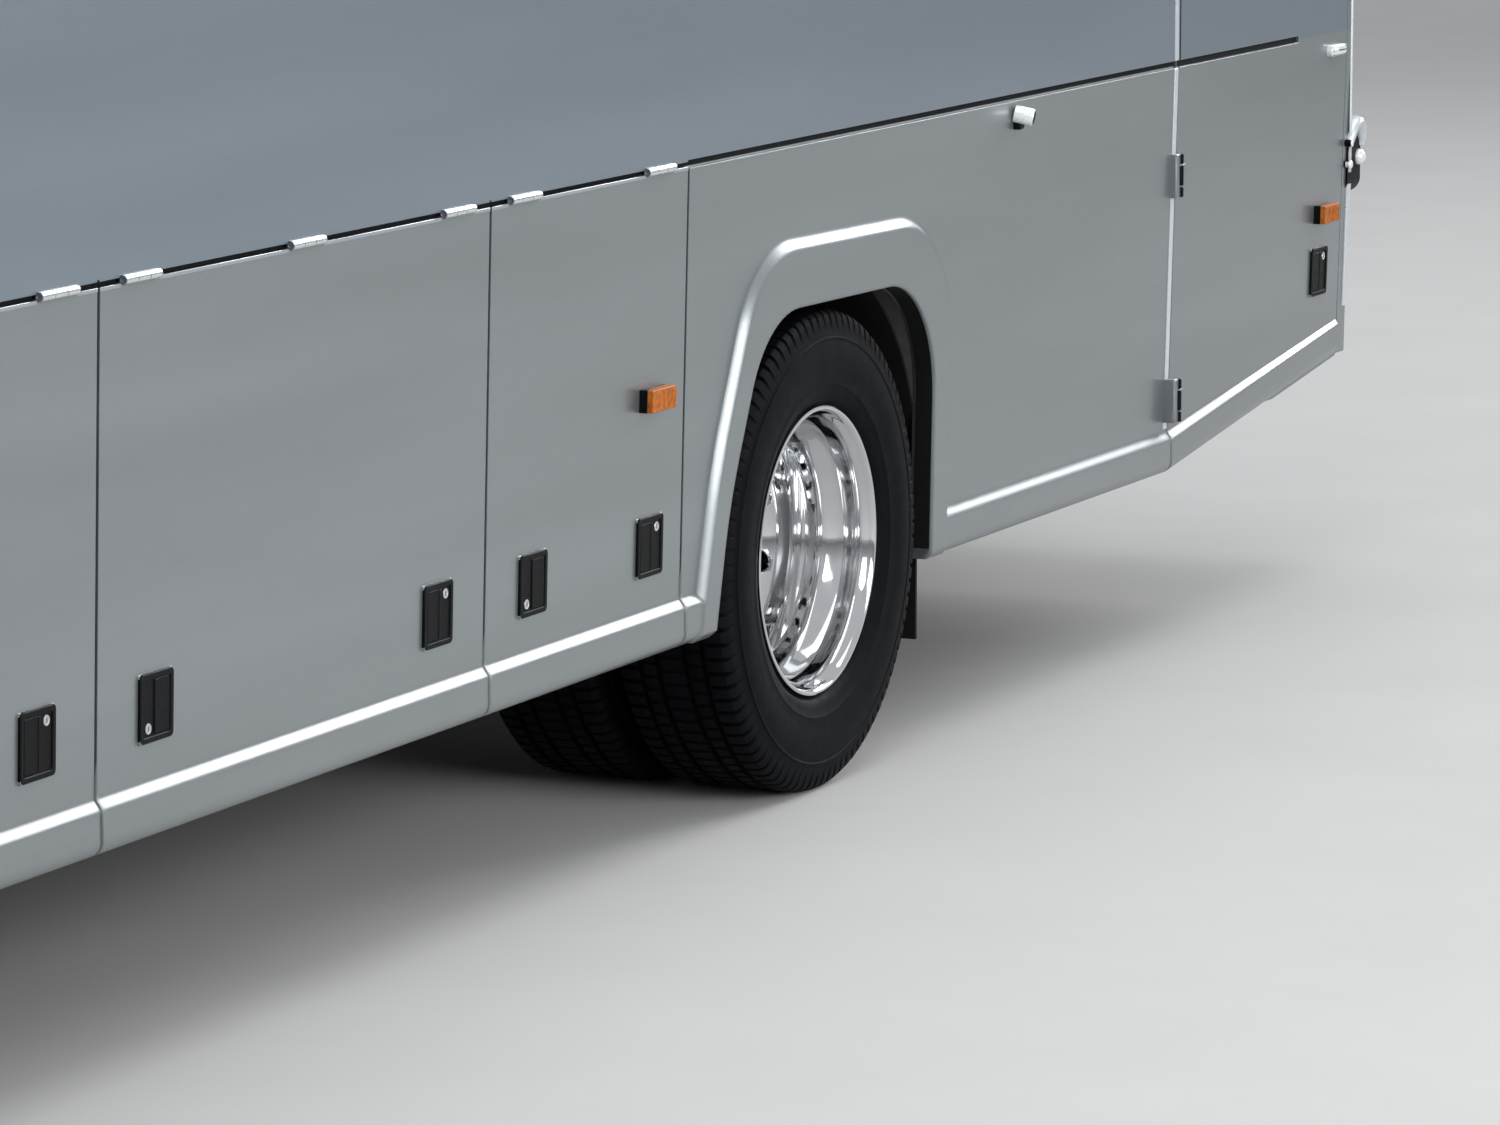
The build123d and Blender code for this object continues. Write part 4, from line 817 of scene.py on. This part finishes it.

# Side cameras: a white barrel on a dark foot that is partly a mount and partly painted shadow, its lens
# outward, as radius and distance along
CAMERA_BARREL = (
    (0.015, 0), (0.0185, 0.002), (0.019, 0.01), (0.019, 0.04), (0.018, 0.044), (0.015, 0.0445),
    (0.0145, 0.043),
)
CAMERA_GLASS = ((0.0148, 0.038), (0.0148, 0.0452), (0.012, 0.0466), (0.006, 0.0474), (0.001, 0.0476))
for word, side in SIDES:
    x, z = REAR_X - 0.997, 1.312
    start = Vector((x + 0.012, side * 1.2395, z + 0.006))
    axis = (Vector((x - 0.004, side * 1.2885, z - 0.005)) - start).normalized()
    across = axis.cross(Vector((0, 0, 1))).normalized()
    axes = (across, across.cross(axis), axis)
    barrel = Shape().disc(0, 0, CAMERA_BARREL, 28)
    made = mounted(f"camera_body_{word}", barrel, start, axes, bright, "body", 40)
    if side > 0:
        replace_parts(made, "side_cameras")
    lens = Shape().disc(0, 0, CAMERA_GLASS, 28)
    mounted(f"camera_lens_{word}", lens, start, axes, plastic, "body", 40)
    # The dark foot under the barrel is partly a mount and partly painted shadow.
    foot_and_shadow = Shape().block((-0.012, 0.016), (-0.03, -0.008), (-0.002, 0.016), 0.006, 0.003)
    beside(f"camera_foot_and_shadow_{word}", foot_and_shadow, x, z, side, plastic, "body")

# Rear lamps: ribbed lenses in their rings, and reflectors
all_skin = skin(*nodes)
LENS_PROFILE = (
    (0.047, -0.004), (0.047, 0.003), (0.044, 0.006), (0.03, 0.0085), (0.029, 0.0074), (0.016, 0.0092),
    (0.015, 0.0082), (0.001, 0.009),
)
for word, side in SIDES:
    for z, finish, label in ((0.88, red_lens, "low"), (1.01, amber, "middle"), (1.14, red_lens, "high")):
        place = all_skin.ray_cast(Vector((-8, side * 1.05, z)), Vector((1, 0, 0)))[0]
        lens = Shape().disc(0, 0, LENS_PROFILE, 36)
        mounted(f"tail_lens_{word}_{label}", lens, place, AFT, finish, "body", 25)
    reflector = Shape().block((-0.06, 0.06), (-0.0175, 0.0175), (-0.006, 0.006), 0.006, 0.002)
    place = all_skin.ray_cast(Vector((-8, side * 0.95, 0.655)), Vector((1, 0, 0)))[0]
    mounted(f"rear_reflector_{word}", reflector, place, AFT, red_lens, "body")


# Engine lid and grille: dark gaps between their bars, and the lid's handle
def gaps(label, tree, way, rows, lowest, pitch, half, height, body):
    """Level gaps in a row, from half to half across the coach."""
    for k in range(rows):
        route = [(-8 * way, half * (j / 8 - 1), lowest + pitch * (k + 0.5)) for j in range(17)]
        laid(f"{label}_gap_{k + 1}", tree, route, (way, 0, 0), moulding(height, 0.0012, 0.002, 0.0006),
             plastic, body)


lid_skin = skin("engine_lid")
gaps("louvre", lid_skin, 1, 6, 0.93, 0.062, 0.592, 0.027, "engine_lid")
laid("lid_handle", lid_skin, [(-8, -0.09 + 0.02 * j, 1.47) for j in range(10)], (1, 0, 0),
     moulding(0.034, 0.011, 0.002, 0.006), plastic, "engine_lid")
gaps("grille", skin("front_mask"), -1, 5, 0.77, 0.084, 0.552, 0.048, "body")

# Headlamps: cups and rims, and the indicators beside them
lamp_skin = skin("headlamps")
for word, side in SIDES:
    for number, (y, radius) in enumerate(((0.79, 0.068), (0.955, 0.068), (1.085, 0.045))):
        place = lamp_skin.ray_cast(Vector((8, side * y, 0.79)), Vector((-1, 0, 0)))[0]
        cup = Shape().disc(0, 0, [
            (radius, -0.048), (radius, -0.05), (radius * 0.97, -0.062), (radius * 0.8, -0.082),
            (radius * 0.5, -0.098), (radius * 0.3, -0.102), (radius * 0.28, -0.088), (radius * 0.18, -0.08),
            (radius * 0.02, -0.078),
        ], 40)
        mounted(f"headlamp_cup_{word}_{number}", cup, place, FORE, chrome, "body", 40)
    laid(f"headlamp_rim_{word}", skin("headlamps", "front_mask", "front_bumper"), [
        (8, side * u, v) for u, v in rounded_route((0.7, 1.13), (0.7, 0.88), 0.02)
    ], (-1, 0, 0), moulding(0.014, 0.003), plastic, "body", True)
    strip(f"front_indicator_{word}", (5.56, 5.66), (0.812, 0.868), (-0.01, 0.004), side, amber, "body",
          0.01, 0.003, 1.2275)

# Mirror glass on the heads' rear faces
for word, side in SIDES:
    for label, low, high in (("main", 2.405, 2.69), ("wide", 2.285, 2.385)):
        pane = Shape().block((-0.1, 0.1), (low, high), (-0.002, 0.0022), 0.022, 0.0012)
        mounted(f"mirror_{label}_{word}", pane, (6.066, side * 1.175, 0), AFT, chrome, "body")

# Roof unit: fan guards over bladed fans, and side vents
FANS, GUARD_SUNK = (-2.025, -0.975), 0.0056
GUARD_RINGS = (0.27, 0.225, 0.18, 0.135, 0.09, 0.045)
GUARD_RIM, GUARD_WIRE = 0.006, 0.0025
for number, x in enumerate(FANS, 1):
    blades = Shape()
    for k in range(7):
        turn = 2 * pi * k / 7
        rings = []
        for radius, lift, wide in ((0.05, 0, 0.16), (0.15, 0.003, 0.2), (0.245, 0.004, 0.17)):
            rings.append([
                (radius * cos(turn + way * wide), radius * sin(turn + way * wide), low + way * lift)
                for way, low in ((-1, -0.024), (1, -0.01), (1, -0.008), (-1, -0.022))
            ])
        blades.loft(rings)
    blades.disc(0, 0, [(0.058, -0.031), (0.058, -0.01), (0.052, -0.006), (0.01, -0.005)], 28)
    mounted(f"roof_fan_{number}", blades, (x, 0, ROOF_TOP), LEVEL, plastic, "body")
    guard = Shape()
    for radius in GUARD_RINGS:
        thick = GUARD_RIM if radius == GUARD_RINGS[0] else GUARD_WIRE
        guard.loft([
            [((radius + thick * u) * c, (radius + thick * u) * s, thick * v) for u, v in circle(6)]
            for c, s in circle(56)
        ], True)
    for c, s in circle(8):
        guard.loft([
            [(r * c - GUARD_WIRE * s * i, r * s + GUARD_WIRE * c * i, j)
             for i, j in ((-1, -0.002), (1, -0.002), (1, 0.0015), (-1, 0.0015))] for r in (0.04, 0.27)
        ])
    mounted(f"fan_guard_{number}", guard, (x, 0, ROOF_TOP - GUARD_SUNK), LEVEL, black_steel, "body")
for word, side in SIDES:
    vents = Shape()
    for k in range(5):
        for j in range(6):
            low, up = -0.92 + 0.31 * j, 0.017 * k
            vents.block((low, low + 0.28), (0.008 + up, 0.017 + up), (-0.002, 0.0022), 0.003, 0.001)
    mounted(f"roof_vents_{word}", vents, (-1.5, side * 0.85, 3.525), ((1, 0, 0), (0, 0, 1), (0, side, 0)),
            plastic, "body")

# Seats: cushions and backs swollen by a cloth simulation, one pair copied along the coach
VOXEL, PRESSURE, CLOTH_FRAMES = 0.013, 4, 20


def swollen(name, points, faces, cap, target):
    """A closed form remeshed, inflated as cloth within a cap, and thinned to about a number of faces."""
    raw = linked(name, closed_mesh(name, points, faces))
    change = raw.modifiers.new("remesh", "REMESH")
    change.mode = "VOXEL"
    change.voxel_size = VOXEL
    even = evaluated(raw)
    raw.modifiers.clear()
    raw.data = even
    before = [v.co.copy() for v in even.vertices]
    settings = raw.modifiers.new("cloth", "CLOTH").settings
    settings.use_pressure = True
    settings.uniform_pressure_force = PRESSURE
    settings.effector_weights.gravity = 0
    for step in range(1, CLOTH_FRAMES + 1):
        scene.frame_set(step)
    blown = evaluated(raw)
    raw.modifiers.clear()
    for vertex, first, moved in zip(even.vertices, before, blown.vertices):
        shift = moved.co - first
        vertex.co = first + shift * min(1, cap / max(shift.length, 1e-9))
    scene.frame_set(1)
    smooth = raw.modifiers.new("smooth", "SMOOTH")
    smooth.factor = 0.5
    smooth.iterations = 3
    thin = raw.modifiers.new("thin", "DECIMATE")
    thin.ratio = min(1, target / max(1, 2 * len(even.polygons)))
    done = evaluated(raw)
    bpy.data.objects.remove(raw)
    return [v.co.copy() for v in done.vertices], [tuple(face.vertices) for face in done.polygons]


def prism(section, y):
    """A section in x, z drawn out between two y values."""
    count = len(section)
    points = [(a, y[k], b) for k in (0, 1) for a, b in section]
    faces = [(k, (k + 1) % count, count + (k + 1) % count, count + k) for k in range(count)]
    return points, faces + [tuple(range(count)), tuple(range(2 * count - 1, count - 1, -1))]


def cushion(name, low, high, y, target):
    """A swollen cushion between two corners x, z, drawn in all round by what it swells."""
    a, b, c, d = low[0] + SWELL, low[1] + SWELL, high[0] - SWELL, high[1] - SWELL
    return swollen(name, *prism([(a, b), (c, b), (c, d), (a, d)], y), CUSHION_CAP, target)


SWELL, CUSHION_CAP, BACK_CAP = 0.02, 0.019, 0.017
SEAT_PITCH, SEAT_ROWS, FIRST_SEAT, SEAT_Y, SEAT_WIDTH = 0.79, 12, -5.434, 0.7, 0.45
SEAT_BACK = [
    (0.112, DECK + 0.41), (0.16, DECK + 0.425), (0.15, DECK + 0.52), (-0.03, DECK + 1.075),
    (-0.043, DECK + 1.108), (-0.078, DECK + 1.108), (-0.072, DECK + 1.05),
]
seat_reach = (-0.445 + SWELL, -0.005 - SWELL)
pads = [
    cushion("pad_0", (0.08, DECK + 0.3), (0.5, DECK + 0.43), seat_reach, 1200),
    swollen("pad_1", *prism(SEAT_BACK, seat_reach), BACK_CAP, 1700),
]
bench_points, bench_faces = [], []
for shift in (0, SEAT_WIDTH):
    for points, faces in pads:
        start = len(bench_points)
        bench_points.extend((v[0], v[1] + shift, v[2]) for v in points)
        bench_faces.extend(tuple(start + j for j in face) for face in faces)
seat_mesh = None
frames = Shape()
for row in range(SEAT_ROWS):
    x = FIRST_SEAT + SEAT_PITCH * row
    for word, side in SIDES:
        y = side * SEAT_Y
        label = f"seat_{word}_{row + 1}"
        if seat_mesh is None:
            bench = piece(label, bench_points, bench_faces, fabric, "body", 60)
            seat_mesh = bench.data
            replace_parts(bench, "seats")
        else:
            bench = linked(label, seat_mesh)
            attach(bench, "body")
        bench.location = (x, y, 0)
        for leg in (y - 0.2, y + 0.12):
            frames.block((x + 0.16, x + 0.42), (leg - 0.022, leg + 0.022), (DECK, DECK + 0.012), 0.008, 0.003)
            frames.block((x + 0.27, x + 0.32), (leg - 0.015, leg + 0.015), (DECK + 0.01, DECK + 0.285), 0.008)
        frames.block((x + 0.1, x + 0.48), (y - 0.435, y + 0.435), (DECK + 0.28, DECK + 0.306), 0.012, 0.004)
mounted("seat_frames", frames, (0, 0, 0), LEVEL, black_steel, "body")

# Driver's seat, from its rear lower corner x, low and its middle y
x, y, low = 4.626, 0.62, 1.11
DRIVER_BACK = [
    (x - 0.092, low + 0.088), (x - 0.008, low + 0.088), (x - 0.008, low + 0.76), (x - 0.04, low + 0.802),
    (x - 0.092, low + 0.802),
]
driver_reach = (y - 0.22, y + 0.22)
for name, (points, faces) in (
    ("driver_cushion", cushion("driver_pad", (x, low), (x + 0.46, low + 0.12), driver_reach, 1500)),
    ("driver_backrest", swollen("driver_back", *prism(DRIVER_BACK, driver_reach), BACK_CAP, 2000)),
):
    piece(name, points, faces, fabric, "body", 60)
post = Shape().block((x + 0.08, x + 0.38), (y - 0.15, y + 0.15), (0.78, 0.8), 0.02, 0.004)
for k in range(7):
    wide, rise = 0.115 if k % 2 else 0.135, 0.04 * k
    post.block((x + 0.23 - wide, x + 0.23 + wide), (y - wide, y + wide), (0.798 + rise, 0.84 + rise),
               0.03, 0.008)
post.block((x + 0.06, x + 0.42), (y - 0.2, y + 0.2), (1.075, 1.115), 0.03, 0.006)
mounted("driver_seat_base", post, (0, 0, 0), LEVEL, plastic, "body")

# Floor and light
FLOOR_REACH = 160
floor_mesh = bpy.data.meshes.new("studio_floor")
floor_corners = [(u * FLOOR_REACH, v * FLOOR_REACH, 0) for u, v in ((-1, -1), (1, -1), (1, 1), (-1, 1))]
floor_mesh.from_pydata(floor_corners, [], [(0, 1, 2, 3)])
floor_mesh.materials.append(surface("pale_floor", (0.5, 0.5, 0.495), 0.85, 0, 0.02, 2))
linked("studio_floor", floor_mesh)

SKY_STRENGTH = 0.66
world = bpy.data.worlds.new("studio")
scene.world = world
world.use_nodes = True
sky = world.node_tree
direction = sky.nodes.new("ShaderNodeTexCoord").outputs["Generated"]
split = sky.nodes.new("ShaderNodeSeparateXYZ")
sky.links.new(direction, split.inputs["Vector"])
ramp = sky.nodes.new("ShaderNodeValToRGB")
low, high = ramp.color_ramp.elements
low.position, low.color = 0, (0.3, 0.31, 0.33, 1)
high.position, high.color = 0.3, (0.95, 0.97, 1, 1)
sky.links.new(split.outputs["Z"], ramp.inputs["Fac"])
sky.links.new(ramp.outputs["Color"], sky.nodes["Background"].inputs["Color"])
sky.nodes["Background"].inputs["Strength"].default_value = SKY_STRENGTH


def softbox(name, place, target, size, power, spread=180):
    """A soft rectangular lamp facing a target."""
    data = bpy.data.lights.new(name, "AREA")
    data.shape = "RECTANGLE"
    data.size, data.size_y = size
    data.energy = power
    data.spread = radians(spread)
    aimed(linked(name, data), place, Vector(target) - Vector(place))


softbox("key", (1.5, 11, 4.4), (-2.3, 1.2, 0.9), (8, 4), 400, 125)
softbox("far", (-25, 6, 11.5), (-2, 1.2, 0.6), (14, 6.5), 700, 80)
softbox("top", (-1, 2, 10), (-1, 1, 0), (14, 6), 420)
scene.view_settings.view_transform = "Standard"
